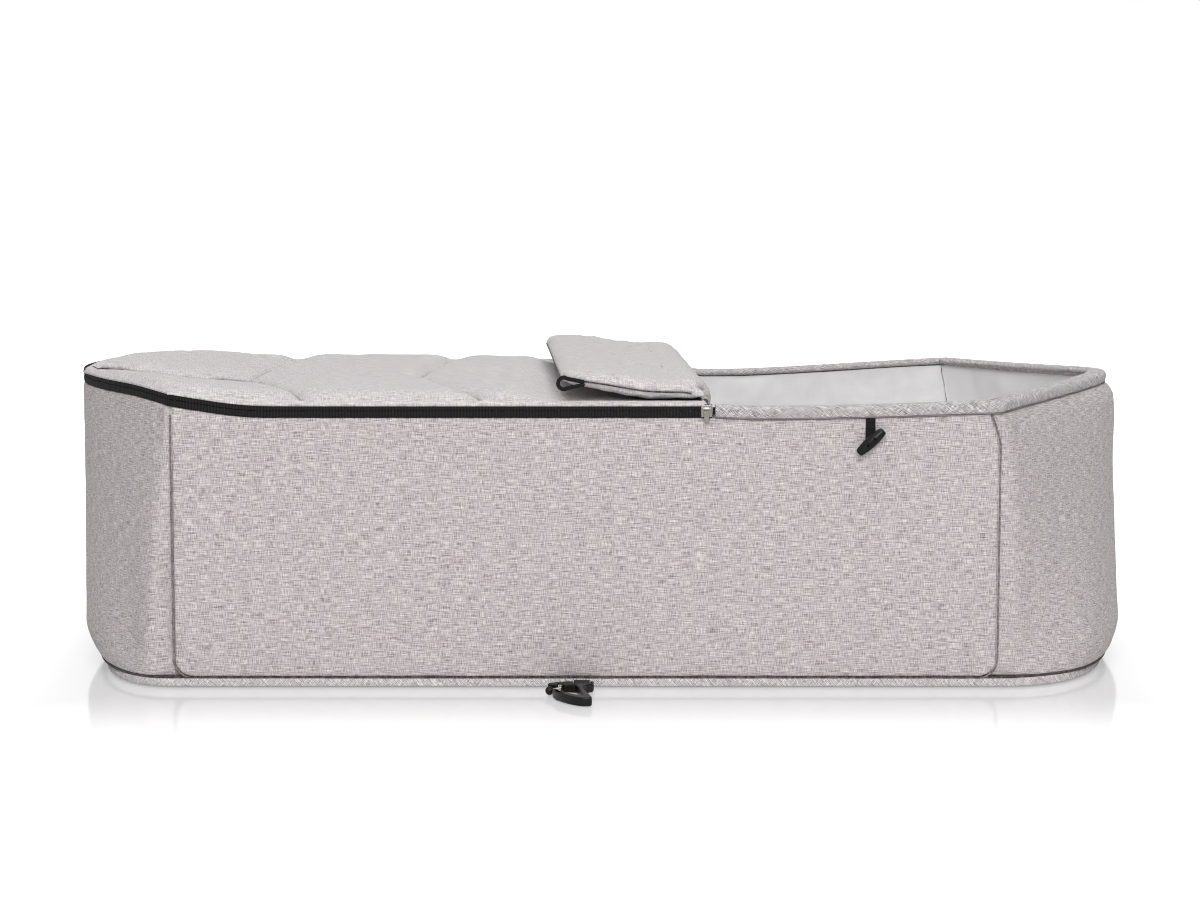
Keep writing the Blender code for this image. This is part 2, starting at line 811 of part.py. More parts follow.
def combine(thing, tool, operation):
    modifier = thing.modifiers.new(tool.name, "BOOLEAN")
    modifier.operation = operation
    modifier.solver = "EXACT"
    modifier.object = as_tool(tool)


combine(slider, staple, "UNION")


def arc(centre_x, centre_y, radius, start, end, steps):
    """Points of an arc in plan, from one angle in degrees to another."""
    return [(centre_x + radius * math.cos(math.radians(start + (end - start) * i / steps)),
             centre_y + radius * math.sin(math.radians(start + (end - start) * i / steps)))
            for i in range(steps + 1)]


def flat_piece(name, finish_name, outlines, half_thickness, edge_round):
    """A flat outline with its holes, thickened to both sides, its edges rounded within it."""
    data = bpy.data.curves.new(name, "CURVE")
    data.dimensions = "2D"
    data.fill_mode = "BOTH"
    data.extrude = half_thickness - edge_round
    data.bevel_depth = edge_round
    data.offset = -edge_round
    data.bevel_resolution = 0
    data.resolution_u = 1
    data.render_resolution_u = 0
    for points in outlines:
        spline = data.splines.new("POLY")
        spline.points.add(len(points) - 1)
        for spot, (x, y) in zip(spline.points, points):
            spot.co = (x, y, 0.0, 1.0)
        spline.use_cyclic_u = True
    thing = bpy.data.objects.new(name, data)
    return place(thing, name, finish_name)


# The pull is a tab with a knuckle round the staple's bar, seen here from its edge.
tail_lean = math.degrees(math.asin(pull_thickness / 2 / pull_knuckle))
pull_outline = arc(0.0, 0.0, pull_knuckle, tail_lean - 90, 270 - tail_lean, 10)
pull_outline += [(-pull_thickness / 2, -pull_length), (pull_thickness / 2, -pull_length)]
pull = flat_piece("zip_pull", "steel",
                  [pull_outline, arc(0.0, 0.0, pull_eye, 0, 360 - 45, 7)],
                  pull_width / 2, pull_thickness / 6)
pull.rotation_euler = (math.radians(90), 0.0, math.radians(90))
pull.location = (slider_x, staple_y, staple_z)


# Toggles: a doubled ribbon from the rim seam, a barrel with two holes and a tie through them

def primitive(name, kind, **settings):
    """A cylinder or sphere from Blender's own primitives."""
    getattr(bpy.ops.mesh, f"primitive_{kind}_add")(**settings)
    thing = bpy.context.object
    thing.name = name
    return thing


def wire(name, finish_name, points, radius):
    """A round wire or cord through its points, its ends closed."""
    data = bpy.data.curves.new(name, "CURVE")
    data.dimensions = "3D"
    data.bevel_depth = radius
    data.bevel_resolution = 2
    data.use_fill_caps = True
    data.render_resolution_u = 0
    spline = data.splines.new("POLY")
    spline.points.add(len(points) - 1)
    for spot, point in zip(spline.points, points):
        spot.co = (*point, 1.0)
    thing = bpy.data.objects.new(name, data)
    return place(thing, name, finish_name)


def toggle_profile(steps=10):
    """Half section of the barrel, down its outer side, from one end's middle to the other's."""
    points = [(0.0, toggle_length / 2)]
    for i in range(steps + 1):
        share = 1.0 - 2.0 * i / steps
        swell = math.cos(share * math.pi / 2)
        radius = toggle_end_radius + (toggle_radius - toggle_end_radius) * swell
        points.append((radius, toggle_length / 2 * share))
    return points + [(0.0, -toggle_length / 2)]


def toggle(side, sign):
    face_y = sign * (half_width + seam_gap)
    ribbon_y = face_y + sign * toggle_ribbon_thickness / 2
    outer_y = face_y + sign * toggle_ribbon_thickness
    axis_z = rim_height(toggle_x, sign) - running_gap
    low = axis_z - toggle_ribbon_length
    across = Vector((1.0, 0.0, 0.0))
    path = [Vector((toggle_x, ribbon_y, z)) for z in (axis_z, (axis_z + low) / 2, low)]
    widths = [toggle_ribbon_width, toggle_ribbon_width * 1.04, toggle_ribbon_width * 1.12]
    ribbon(f"toggle_ribbon_{side}", "ribbon_black", path, across, widths,
           toggle_ribbon_thickness, (toggle_x, ribbon_y, axis_z))

    centre = Vector((toggle_x, outer_y + sign * (seam_gap + toggle_radius),
                     low + toggle_radius * 0.8))
    lean = Matrix.Rotation(math.radians(90) - toggle_tilt, 4, "Y")
    mesh = bpy.data.meshes.new("toggle_profile")
    profile = [(x, 0.0, z) for x, z in toggle_profile()]
    mesh.from_pydata(profile, [(i, i + 1) for i in range(len(profile) - 1)], [])
    barrel = place(bpy.data.objects.new(f"toggle_{side}", mesh), f"toggle_{side}",
                   "plastic_black")
    barrel.matrix_world = Matrix.Translation(centre) @ lean
    screw = barrel.modifiers.new("turn", "SCREW")
    screw.steps = turn_steps
    screw.render_steps = turn_steps
    screw.use_merge_vertices = True
    screw.merge_threshold = 0.00001
    along = (lean @ Vector((0.0, 0.0, 1.0))).normalized()
    spots = []
    for place_sign in (-1.0, 1.0):
        spot = centre + along * toggle_hole_offset * place_sign
        spots.append(spot)
        hole = primitive(f"toggle_hole_{side}", "cylinder", vertices=12,
                         radius=toggle_hole_radius, depth=4 * toggle_radius, location=spot,
                         rotation=(math.radians(90), 0.0, 0.0))
        combine(barrel, hole, "DIFFERENCE")
    back_y = outer_y + sign * (running_gap + toggle_tie_radius)
    front_y = centre.y + sign * (toggle_radius + toggle_tie_radius)
    first, second = spots
    wire(f"toggle_tie_{side}", "ribbon_black", [
        Vector((first.x, back_y, first.z)),
        Vector((first.x, front_y, first.z)),
        Vector((second.x, front_y, second.z)),
        Vector((second.x, back_y, second.z))], toggle_tie_radius)


for side, sign in (("near", -1.0), ("far", 1.0)):
    toggle(side, sign)


# Chassis hooks. Each lies on the floor beside the base, and its sizes run outwards from the side.

def hook_outline():
    """The frame in plan: a fork for the bar, a leg, a fan's front, the gate's seat and an arm."""
    def along(shares):
        return [(hook_length * u, hook_length * v) for u, v in shares]

    eye_right = hook_eye_left + strap_width + 2 * bar_play
    fork = strap_reach + bar_radius + strap_thickness + 3 * bar_play
    tip = strap_reach - bar_radius - hook_edge_round
    seat = gate_pivot + gate_length + running_gap
    seat_half = gate_pin_radius + running_gap
    points = [(hook_eye_left - hook_ear, tip), (hook_eye_left, tip), (hook_eye_left, fork),
              (eye_right, fork), (eye_right, tip), (eye_right + hook_ear, tip),
              (eye_right + hook_ear, fork)]
    points += along(hook_leg_shares) + along(hook_front_shares)
    points += [(gate_x - seat_half, seat - 2 * hook_ear), (gate_x - seat_half, seat),
               (gate_x + seat_half, seat)]
    points += along(hook_throat_shares)
    points += arc(gate_x, gate_pivot, gate_hub_radius + running_gap, 0, -180, 6)
    return points + along(hook_arm_shares)


def hook(side, sign):
    def spot(u, v, z):
        return Vector((hook_x + u, sign * (half_width + v), z))

    bar_z = strap_thickness + bar_play + bar_radius + seam_gap / 3
    loop_middle = bar_radius + bar_play + strap_thickness / 2
    eye_centre = hook_eye_left + bar_play + strap_width / 2
    path = [spot(eye_centre, strap_thickness, bar_z + strap_thickness * 0.8),
            spot(eye_centre, strap_reach * 0.55, bar_z + loop_middle * 0.9)]
    for i in range(9):
        angle = math.radians(90 - 180 * i / 8)
        path.append(spot(eye_centre, strap_reach + loop_middle * math.cos(angle),
                         bar_z + loop_middle * math.sin(angle)))
    path += [spot(eye_centre, strap_reach * 0.55, bar_z - loop_middle * 0.94),
             spot(eye_centre, strap_thickness, bar_z - loop_middle * 0.90)]
    ribbon(f"hook_strap_{side}", "webbing_black", path, Vector((1.0, 0.0, 0.0)),
           [strap_width] * len(path), strap_thickness, spot(eye_centre, strap_thickness, bar_z))

    bar_length = strap_width + 2 * bar_play - 2 * seam_gap
    bar = primitive(f"hook_bar_{side}", "cylinder", vertices=16, radius=bar_radius,
                    depth=bar_length, location=spot(eye_centre, strap_reach, bar_z),
                    rotation=(0.0, math.radians(90), 0.0))
    place(bar, f"hook_bar_{side}", "steel")

    middle_z = hook_half_thickness + seam_gap / 2
    frame = flat_piece(f"hook_frame_{side}", "plastic_black",
                       [[(u, sign * v) for u, v in hook_outline()]],
                       hook_half_thickness, hook_edge_round)
    frame.location = (hook_x, sign * half_width, middle_z)

    gate = primitive(f"hook_gate_{side}", "cylinder", vertices=12, radius=gate_hub_radius,
                     depth=2 * hook_half_thickness * 0.8,
                     location=spot(gate_x, gate_pivot, middle_z))
    place(gate, f"hook_gate_{side}", "steel")
    pin = primitive(f"gate_pin_{side}", "cylinder", vertices=10, radius=gate_pin_radius,
                    depth=gate_length, location=spot(gate_x, gate_pivot + gate_length / 2,
                                                     middle_z),
                    rotation=(math.radians(90), 0.0, 0.0))
    combine(gate, pin, "UNION")

    reach = Vector((math.cos(knob_turn), sign * math.sin(knob_turn), 0.0))
    lean = reach.to_track_quat("Z", "Y").to_euler()
    lever = primitive(f"gate_lever_{side}", "cylinder", vertices=10, radius=gate_pin_radius,
                      depth=knob_lever, rotation=lean,
                      location=gate.location + reach * knob_lever / 2)
    combine(gate, lever, "UNION")
    knob = primitive(f"hook_knob_{side}", "uv_sphere", segments=16, ring_count=10,
                     radius=knob_radius, location=gate.location + reach * knob_lever)
    place(knob, f"hook_knob_{side}", "plastic_black")
    bore_length = 2 * knob_radius
    bore = primitive(f"knob_bore_{side}", "cylinder", vertices=10,
                     radius=gate_pin_radius + seam_gap, depth=bore_length, rotation=lean,
                     location=knob.location - reach * (bore_length / 2 - seam_gap))
    combine(knob, bore, "DIFFERENCE")


for side, sign in (("near", -1.0), ("far", 1.0)):
    hook(side, sign)
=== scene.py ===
"""Looks of the soft carrycot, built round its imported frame: cloth, zip, quilting and fittings."""

import math
from bisect import bisect_left

import bmesh
import bpy
from mathutils import Matrix, Vector, kdtree, noise


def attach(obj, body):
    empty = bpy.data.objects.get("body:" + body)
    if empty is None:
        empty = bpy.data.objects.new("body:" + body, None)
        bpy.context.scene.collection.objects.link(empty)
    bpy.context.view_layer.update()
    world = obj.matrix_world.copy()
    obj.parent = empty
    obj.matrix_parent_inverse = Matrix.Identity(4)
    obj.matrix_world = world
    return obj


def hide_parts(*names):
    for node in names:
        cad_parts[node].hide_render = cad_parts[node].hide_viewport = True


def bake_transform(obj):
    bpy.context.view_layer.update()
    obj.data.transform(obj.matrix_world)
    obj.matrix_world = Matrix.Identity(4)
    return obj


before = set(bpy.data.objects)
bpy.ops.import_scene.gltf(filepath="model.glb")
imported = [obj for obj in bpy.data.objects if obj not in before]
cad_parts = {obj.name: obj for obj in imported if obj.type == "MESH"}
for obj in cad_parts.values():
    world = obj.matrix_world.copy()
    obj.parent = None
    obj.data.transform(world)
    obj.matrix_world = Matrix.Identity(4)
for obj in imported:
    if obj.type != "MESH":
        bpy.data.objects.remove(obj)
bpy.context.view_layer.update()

# Base cloth
# The melange cloth under the base is sewn flat over a stiff board, with its edge inside the
# binding. Its outline is the body's: straight sides, a fuller foot and a fuller head end.

half_width = 0.170
foot_corner, head_corner = 0.304, 0.2835
foot_rim_reach, head_rim_reach = 0.0865, 0.1045
foot_nose_round, head_nose_round = 0.150, 0.020
foot_belly_reach, head_belly_reach = 0.0845, 0.1120
belly_power = 2.3
side_top = 0.1935
edge_tuck, edge_round_height = 0.017, 0.030
side_length = foot_corner + head_corner


def clamped(share):
    return min(max(share, 0.0), 1.0)


def smooth(value, start, end):
    share = clamped((value - start) / (end - start))
    return share * share * (3.0 - 2.0 * share)


def end_reach(at_head, side_share, z):
    """How far an end stands out past the corners: a soft V at the rim, a full belly lower down."""
    reach = head_rim_reach if at_head else foot_rim_reach
    nose = head_nose_round if at_head else foot_nose_round
    full = head_belly_reach if at_head else foot_belly_reach
    side_share = min(side_share, 1.0)
    run = math.sqrt((reach + nose) ** 2 - nose ** 2)
    rim = reach + nose - math.hypot(run * side_share, nose)
    belly = full * (1.0 - side_share ** belly_power) ** (1.0 / belly_power)
    up = clamped(z / side_top)
    tuck = edge_tuck * max(1.0 - z / edge_round_height, 0.0) ** 1.5
    return (belly + (rim - belly) * up) * (1.0 - tuck / full)


def outline(station, z):
    """Outer face in plan: stations 0 to 1 near side, then the head, the far side and the foot."""
    leg, share = divmod(station % 4.0, 1.0)
    if leg == 0:
        return Vector((side_length * share - foot_corner, -half_width))
    if leg == 2:
        return Vector((head_corner - side_length * share, half_width))
    across = math.sin((share - 0.5) * math.pi)
    if leg == 1:
        return Vector((head_corner + end_reach(True, abs(across), z), across * half_width))
    return Vector((-foot_corner - end_reach(False, abs(across), z), -across * half_width))


def wall_spot(station, z, inset):
    """A point of the wall, an inset in from its outer face; the corners turn softly."""
    from_corner = abs(station % 1.0 - 0.5)
    step = 0.012 + (0.088 if int(station % 4.0) % 2 else 0.006) * smooth(from_corner, 0.3, 0.5)
    before = (outline(station, z) - outline(station - step, z)).normalized()
    after = (outline(station + step, z) - outline(station, z)).normalized()
    inwards = (before + after).orthogonal() / (1.0 + before.dot(after))
    spot = outline(station, z) + inwards * inset
    return Vector((spot.x, spot.y, z))


def metres_along(points):
    """The length so far at each point of a line."""
    metres = [0.0]
    for here, there in zip(points, points[1:]):
        metres.append(metres[-1] + (there - here).length)
    return metres


def run_along(first, last, z=side_top, steps=600):
    """A function from a share of the way along the wall to its station and its metres."""
    stations = [first + (last - first) * i / steps for i in range(steps + 1)]
    metres = metres_along([outline(station, z) for station in stations])

    def at(share):
        wanted = metres[-1] * clamped(share)
        i = min(max(bisect_left(metres, wanted), 1), steps)
        part = (wanted - metres[i - 1]) / (metres[i] - metres[i - 1])
        return stations[i - 1] + (stations[i] - stations[i - 1]) * part, wanted
    at.length = metres[-1]
    return at


def sewn_sheet(name, columns, rows, spot, measured=False):
    """A grid, each point moved to its place in the sewn form; its UV map is the flat cut, in m.

    Where the form's length changes from row to row, the cut's is measured along each row.
    """
    bpy.ops.object.select_all(action="DESELECT")
    bpy.ops.mesh.primitive_grid_add(x_subdivisions=columns, y_subdivisions=rows, size=1.0)
    sheet = bpy.context.object
    sheet.name = sheet.data.name = name
    cut = []
    for vertex in sheet.data.vertices:
        place, flat = spot(vertex.co.x + 0.5, vertex.co.y + 0.5)
        vertex.co = place
        cut.append(flat)
    if measured:
        points = sheet.data.vertices
        for row in range(rows + 1):
            ids = range(row * (columns + 1), (row + 1) * (columns + 1))
            run = metres_along([points[i].co for i in ids])
            for i, far in zip(ids, run):
                cut[i] = (far - run[-1] / 2, cut[i][1])
    layer = sheet.data.uv_layers.active.data
    for loop in sheet.data.loops:
        layer[loop.index].uv = cut[loop.vertex_index]
    bpy.ops.object.shade_smooth()
    return sheet


def uneven(*place):
    """Soft noise, about -1 to 1, at a place."""
    return noise.noise(Vector(place))


def tidy_mesh(piece, merge=0.00002):
    """Close seams and poles of a piece whose edges meet."""
    shape = bmesh.new()
    shape.from_mesh(piece.data)
    bmesh.ops.remove_doubles(shape, verts=shape.verts, dist=merge)
    bmesh.ops.dissolve_degenerate(shape, edges=shape.edges, dist=merge / 4)
    shape.to_mesh(piece.data)
    shape.free()


def path_through(points):
    """A function from 0 to 1 along a line of points."""
    metres = metres_along(points)

    def at(share):
        wanted = metres[-1] * clamped(share)
        i = min(max(bisect_left(metres, wanted), 1), len(points) - 1)
        part = (wanted - metres[i - 1]) / max(metres[i] - metres[i - 1], 0.0000001)
        return points[i - 1].lerp(points[i], part)
    at.length = metres[-1]
    return at


def cord_along(name, points, radius, up=Vector((0.0, 0.0, 1.0)), step=0.0015):
    """A thin round cord along a line of points; up is square to the line."""
    at = path_through(points)
    nudge = 0.0008 / at.length

    def spot(u, v):
        way = (at(u + nudge) - at(u - nudge)).normalized()
        side = way.cross(up).normalized()
        angle = 2.0 * math.pi * v
        place = at(u) + (side * math.cos(angle) + up * math.sin(angle)) * radius
        return place, (at.length * u, radius * 6.0 * v)

    cord = sewn_sheet(name, int(at.length / step), 8, spot)
    tidy_mesh(cord)
    return cord


def apply_modifier(piece, kind, **settings):
    modifier = piece.modifiers.new(kind.lower(), kind)
    for key, value in settings.items():
        setattr(modifier, key, value)
    bpy.ops.object.select_all(action="DESELECT")
    bpy.context.view_layer.objects.active = piece
    piece.select_set(True)
    bpy.ops.object.modifier_apply(modifier=modifier.name)


def thicken(piece, thickness, offset=-1.0):
    apply_modifier(piece, "SOLIDIFY", thickness=thickness, offset=offset)


def colour(hex_value):
    """sRGB hex to linear."""
    channels = [int(hex_value[i:i + 2], 16) / 255 for i in (0, 2, 4)]
    return tuple(c / 12.92 if c <= 0.04045 else ((c + 0.055) / 1.055) ** 2.4
                 for c in channels) + (1.0,)


def node(tree, kind, inputs=None, **settings):
    """Add a shader node; an input is a value, or another node's output to link."""
    added = tree.nodes.new("ShaderNode" + kind)
    for key, value in settings.items():
        setattr(added, key, value)
    for key, value in (inputs or {}).items():
        if isinstance(value, bpy.types.NodeSocket):
            tree.links.new(value, added.inputs[key])
        else:
            added.inputs[key].default_value = value
    return added


def plain_material(name, roughness, **sockets):
    material = bpy.data.materials.new(name)
    material.use_nodes = True
    shader = material.node_tree.nodes["Principled BSDF"]
    shader.inputs["Roughness"].default_value = roughness
    for key, value in sockets.items():
        shader.inputs[key.replace("_", " ")].default_value = value
    return material, material.node_tree, shader


# A wave texture of scale 1 has a band every 0.314 m, so a pattern's scale is this over its pitch.
wave_pitch = 0.314


def melange_cloth(name, dark, middle, light, cool, turn=0.0, thread=0.0009, bump=0.5):
    """Plain-weave polyester melange: yarns of mixed dyes give short streaks both ways.

    The yarns are drawn at 0.9 mm, about twice the real ones, or they would not show.
    """
    material, tree, shader = plain_material(name, 0.86, Sheen_Weight=0.12, Sheen_Roughness=0.5)
    cut = node(tree, "UVMap", uv_map="UVMap")
    turned = node(tree, "Mapping", {"Vector": cut.outputs[0], "Rotation": (0.0, 0.0, turn)})
    yarns = []
    for way, slub in ((0, 0.0095), (1, 0.0056)):
        scale = [2.0 / thread, 2.0 / thread, 1.0]
        scale[way] = 1.0 / slub
        stretched = node(tree, "Mapping", {"Vector": turned.outputs[0], "Scale": scale,
                                           "Location": (3.7 * way, 9.1 * way, 0.0)})
        streak = node(tree, "TexNoise", {"Vector": stretched.outputs[0], "Scale": 1.0,
                                         "Detail": 2.0, "Roughness": 0.60})
        ramp = node(tree, "ValToRGB", {"Fac": streak.outputs["Fac"]})
        bar = ramp.color_ramp
        bar.elements[0].position, bar.elements[0].color = 0.40, colour(dark)
        bar.elements[1].position, bar.elements[1].color = 0.60, colour(light)
        for position, value in ((0.46, middle), (0.50, cool), (0.54, middle)):
            bar.elements.new(position).color = colour(value)
        yarns.append(ramp)
    woven = node(tree, "Mix", {"Factor": 0.45}, data_type="RGBA")
    for socket, ramp in ((6, yarns[0]), (7, yarns[1])):
        tree.links.new(ramp.outputs["Color"], woven.inputs[socket])
    cloudy = node(tree, "TexNoise", {"Vector": turned.outputs[0], "Scale": 70.0, "Detail": 3.0})
    hue = node(tree, "ValToRGB", {"Fac": cloudy.outputs["Fac"]})
    for element, at, tone in zip(hue.color_ramp.elements, (0.4, 0.6), ("fdfafc", "fffefb")):
        element.position, element.color = at, colour(tone)
    tint = node(tree, "VectorMath", {0: woven.outputs[2], 1: hue.outputs["Color"]},
                operation="MULTIPLY")
    # Painted shade: where the crease attribute is set, near sewn lines, the colour is darkened down
    # to 35 %.
    crease = node(tree, "Attribute", attribute_name="crease")
    shade = node(tree, "MapRange", {"Value": crease.outputs["Fac"], "To Min": 1.0,
                                    "To Max": 0.35})
    shaded = node(tree, "VectorMath", {0: tint.outputs[0], 3: shade.outputs[0]},
                  operation="SCALE")
    tree.links.new(shaded.outputs[0], shader.inputs["Base Color"])
    waves = [node(tree, "TexWave", {"Vector": turned.outputs[0], "Scale": wave_pitch / thread,
                                    "Distortion": 0.4, "Detail": 0.0},
                  bands_direction=way) for way in ("X", "Y")]
    weave = node(tree, "Math", {0: waves[0].outputs["Fac"], 1: waves[1].outputs["Fac"]},
                 operation="MULTIPLY")
    raised = node(tree, "Bump", {"Strength": bump, "Distance": thread * 0.3,
                                 "Height": weave.outputs[0]})
    tree.links.new(raised.outputs[0], shader.inputs["Normal"])
    return material


def paint_seam_shade_along(piece, points, reach):
    """Note how close each point of a cloth lies to a sewn line, where its colour is darkened as
    painted shade.
    """
    line = kdtree.KDTree(len(points))
    for i, point in enumerate(points):
        line.insert(point, i)
    line.balance()
    layer = piece.data.attributes.get("crease")
    layer = layer or piece.data.attributes.new("crease", "FLOAT", "POINT")
    for i, vertex in enumerate(piece.data.vertices):
        near = math.exp(-(line.find(vertex.co)[2] / reach) ** 2)
        layer.data[i].value = max(layer.data[i].value, near)


def dress(piece, material, body, slot, *nodes):
    """Give a finished piece its finish and its CAD body, and hide the CAD solids that it stands for.
    """
    piece.data.materials.clear()
    piece.data.materials.append(material)
    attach(piece, body)
    if nodes:
        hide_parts(*nodes)
    return piece


melange = melange_cloth("melange_cloth", "766b6e", "c6bdbe", "eeeae8", "b9b7bc")


def across_spot(u, v, z, inset):
    """A point of a flat piece in the body's outline, from its foot nose to its head nose."""
    side = wall_spot(-0.5 + 2.0 * u, z, inset)
    y = side.y * (1.0 - 2.0 * v)
    return Vector((side.x, y, z)), (side.x, y)


base_skin, base_cloth_inset = 0.0019, 0.0050
base_cloth = sewn_sheet("base_cloth", 120, 40,
                        lambda u, v: across_spot(u, v, base_skin, base_cloth_inset))
tidy_mesh(base_cloth)
thicken(base_cloth, base_skin)
dress(base_cloth, melange, "body", "melange_fabric", "base_panel")

# Boards
# Sheets of grey pressed board stiffen the base and both long sides. They are cut plain and are
# hidden between the cloths.

def mottled(name, shade, light, roughness, scale, detail=2.0, at=(0.0, 1.0), bump=None,
            **sockets):
    """A plain finish with a fine mottle between two tones, as grain, spun thread or moulding has."""
    material, tree, shader = plain_material(name, roughness, **sockets)
    place = node(tree, "TexCoord")
    grain = node(tree, "TexNoise", {"Vector": place.outputs["Object"], "Scale": scale,
                                    "Detail": detail})
    ramp = node(tree, "ValToRGB", {"Fac": grain.outputs["Fac"]})
    for element, position, tone in zip(ramp.color_ramp.elements, at, (shade, light)):
        element.position, element.color = position, colour(tone)
    tree.links.new(ramp.outputs["Color"], shader.inputs["Base Color"])
    if bump:
        raised = node(tree, "Bump", {"Strength": bump[0], "Distance": bump[1],
                                     "Height": grain.outputs["Fac"]})
        tree.links.new(raised.outputs[0], shader.inputs["Normal"])
    return material


# Pressed board shows short fibres in two greys.
board_material = mottled("grey_board", "827e7a", "989490", 0.75, 420.0, detail=4.0,
                         at=(0.35, 0.65), bump=(0.2, 0.0002))
for name in ("base_board", "side_board_near", "side_board_far"):
    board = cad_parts[name]
    board.data.materials.clear()
    board.data.materials.append(board_material)

# Floor lining
# Fine light grey cotton is glued over the base board, under the mattress, and the same cloth
# lines the walls. Its weave is so fine that only its soft sheen and a faint mottle show.


def cotton(name, shade, light, scale=1.0):
    material, tree, shader = plain_material(name, 0.8, Sheen_Weight=0.1)
    cut = node(tree, "UVMap", uv_map="UVMap")
    mottle = node(tree, "TexNoise", {"Vector": cut.outputs[0], "Scale": 60.0 * scale,
                                     "Detail": 5.0})
    ramp = node(tree, "ValToRGB", {"Fac": mottle.outputs["Fac"]})
    for element, at, tone in zip(ramp.color_ramp.elements, (0.3, 0.7), (shade, light)):
        element.position, element.color = at, colour(tone)
    tree.links.new(ramp.outputs["Color"], shader.inputs["Base Color"])
    waves = [node(tree, "TexWave", {"Vector": cut.outputs[0], "Scale": wave_pitch / 0.0007,
                                    "Distortion": 0.5}, bands_direction=way)
             for way in ("X", "Y")]
    weave = node(tree, "Math", {0: waves[0].outputs["Fac"], 1: waves[1].outputs["Fac"]},
                 operation="MULTIPLY")
    raised = node(tree, "Bump", {"Strength": 0.25, "Distance": 0.0002,
                                 "Height": weave.outputs[0]})
    tree.links.new(raised.outputs[0], shader.inputs["Normal"])
    return material


lining_cotton = cotton("lining_cotton", "e4e2e3", "efedee")
floor_level, floor_inset = 0.0067, 0.0055
floor_cloth = sewn_sheet("floor_lining", 100, 30,
                         lambda u, v: across_spot(u, v, floor_level, floor_inset))
tidy_mesh(floor_cloth)
thicken(floor_cloth, 0.0010)
dress(floor_cloth, lining_cotton, "body", "lining_cotton", "base_lining")

# Base binding
# Bias-cut tape of the same cloth is folded round the base edge and stitched through, so its
# weave runs at 45 degrees. It stands as a soft roll under a dark gap.

binding_cloth = melange_cloth("bias_binding", "5b5255", "c4bcbe", "ffffff", "aeacb3",
                              turn=math.radians(45), thread=0.0011, bump=0.9)
# Painted light: the base roll gets a lighter copy of the same tape cloth than the rim, against the
# shade near the floor.
base_weave_painted_light = melange_cloth("base_weave_painted_light", "857d80", "d3cbcd", "fdfafa", "c4c2c8",
                           turn=math.radians(45), thread=0.0011, bump=0.9)
binding_low, binding_tall, binding_deep = 0.0003, 0.0070, 0.0048
binding_cut = 0.017
round_base = run_along(0.52, 4.52, 0.0)


def base_roll_spot(u, v):
    station, metres = round_base(u)
    angle = 2.0 * math.pi * v
    reach = math.cos(angle)
    square = 0.82 + 0.18 * abs(math.sin(2.0 * angle))
    swell = 0.00022 * uneven(metres * 55.0, math.sin(angle), 2.0)
    z = binding_low + binding_tall / 2 * (1.0 + math.sin(angle) * square)
    inset = binding_deep / 2 * (1.0 - reach * square) - swell
    return wall_spot(station, 0.0, inset) + Vector((0.0, 0.0, z)), (
        metres, binding_cut * v)


base_roll = sewn_sheet("base_binding_roll", 420, 16, base_roll_spot)
tidy_mesh(base_roll)
dress(base_roll, base_weave_painted_light, "body", "binding_tape", "base_binding")

# Side and end panels
# Each wall is melange cloth over thin wadding. The side panels are sewn on as separate pieces:
# their edges are turned in, their lower corners are round, and a groove parts them from the
# end panels, which run on a little way under them.

wall_bottom = 0.0077
side_panel_corner = 0.013
groove = 0.0032
panel_edge_fall, panel_edge_round = 0.0014, 0.010
panel_cloth = 0.0015
head_rise_run, head_rise, foot_rise = 0.300, 0.0095, 0.012
cut_fades = 0.022


def rim_height(x, y):
    """Top edge of the panels: rising at both ends, sagging a little beside the open part."""
    head_share = clamped((x - head_corner - head_rim_reach + head_rise_run) / head_rise_run)
    foot_share = smooth(-x, 0.285, 0.365) if y > 0.0 else smooth(-x, 0.235, 0.345)
    depth, start, full = (0.0062, 0.045, 0.085) if y > 0.0 else (0.0012, 0.079, 0.110)
    sag = depth * smooth(x, start, full) * (1.0 - smooth(x, full, 0.275))
    return side_top + head_rise * head_share ** 2.5 + foot_rise * foot_share - sag


def top_at(station):
    spot = outline(station, side_top)
    return rim_height(spot.x, spot.y)


def head_tuck(station):
    """How far the rim is drawn in over the fuller head end."""
    return 0.0052 * math.sin(math.pi * (station - 1.0)) if 1.0 < station % 4.0 < 2.0 else 0.0


def finer_ends(share, ease=0.8):
    """Draw a grid's lines closer together near both ends."""
    return share - ease * math.sin(2.0 * math.pi * share) / (2.0 * math.pi)


def pad_rise(distance, reach):
    """Share of its height that a padded form has at a distance from its seam."""
    into = min(max(distance, 0.0) / reach, 1.0)
    return math.sqrt(1.0 - (1.0 - into) ** 2)


def edge_inset(distance, roll=0.0018):
    """How far a turned edge falls back: a soft slope and then a tight roll."""
    slope = panel_edge_fall * max(1.0 - distance / panel_edge_round, 0.0) ** 2
    return slope + roll * (1.0 - pad_rise(distance, roll))


def rumple(metres, z, seed, edge_below, edge_above):
    """Soft unevenness of cloth over wadding, with small puckers at its sewn edges."""
    wide = 0.00055 * uneven(metres * 17.0, z * 24.0, seed)
    small = 0.00022 * uneven(metres * 60.0, z * 75.0, seed + 5.0)
    low = 0.0007 * uneven(metres * 85.0, z * 20.0, seed + 9.0)
    high = 0.0006 * uneven(metres * 95.0, z * 20.0, seed + 13.0)
    return (wide + small + low * math.exp(-edge_below / 0.007)
            + high * math.exp(-edge_above / 0.006))


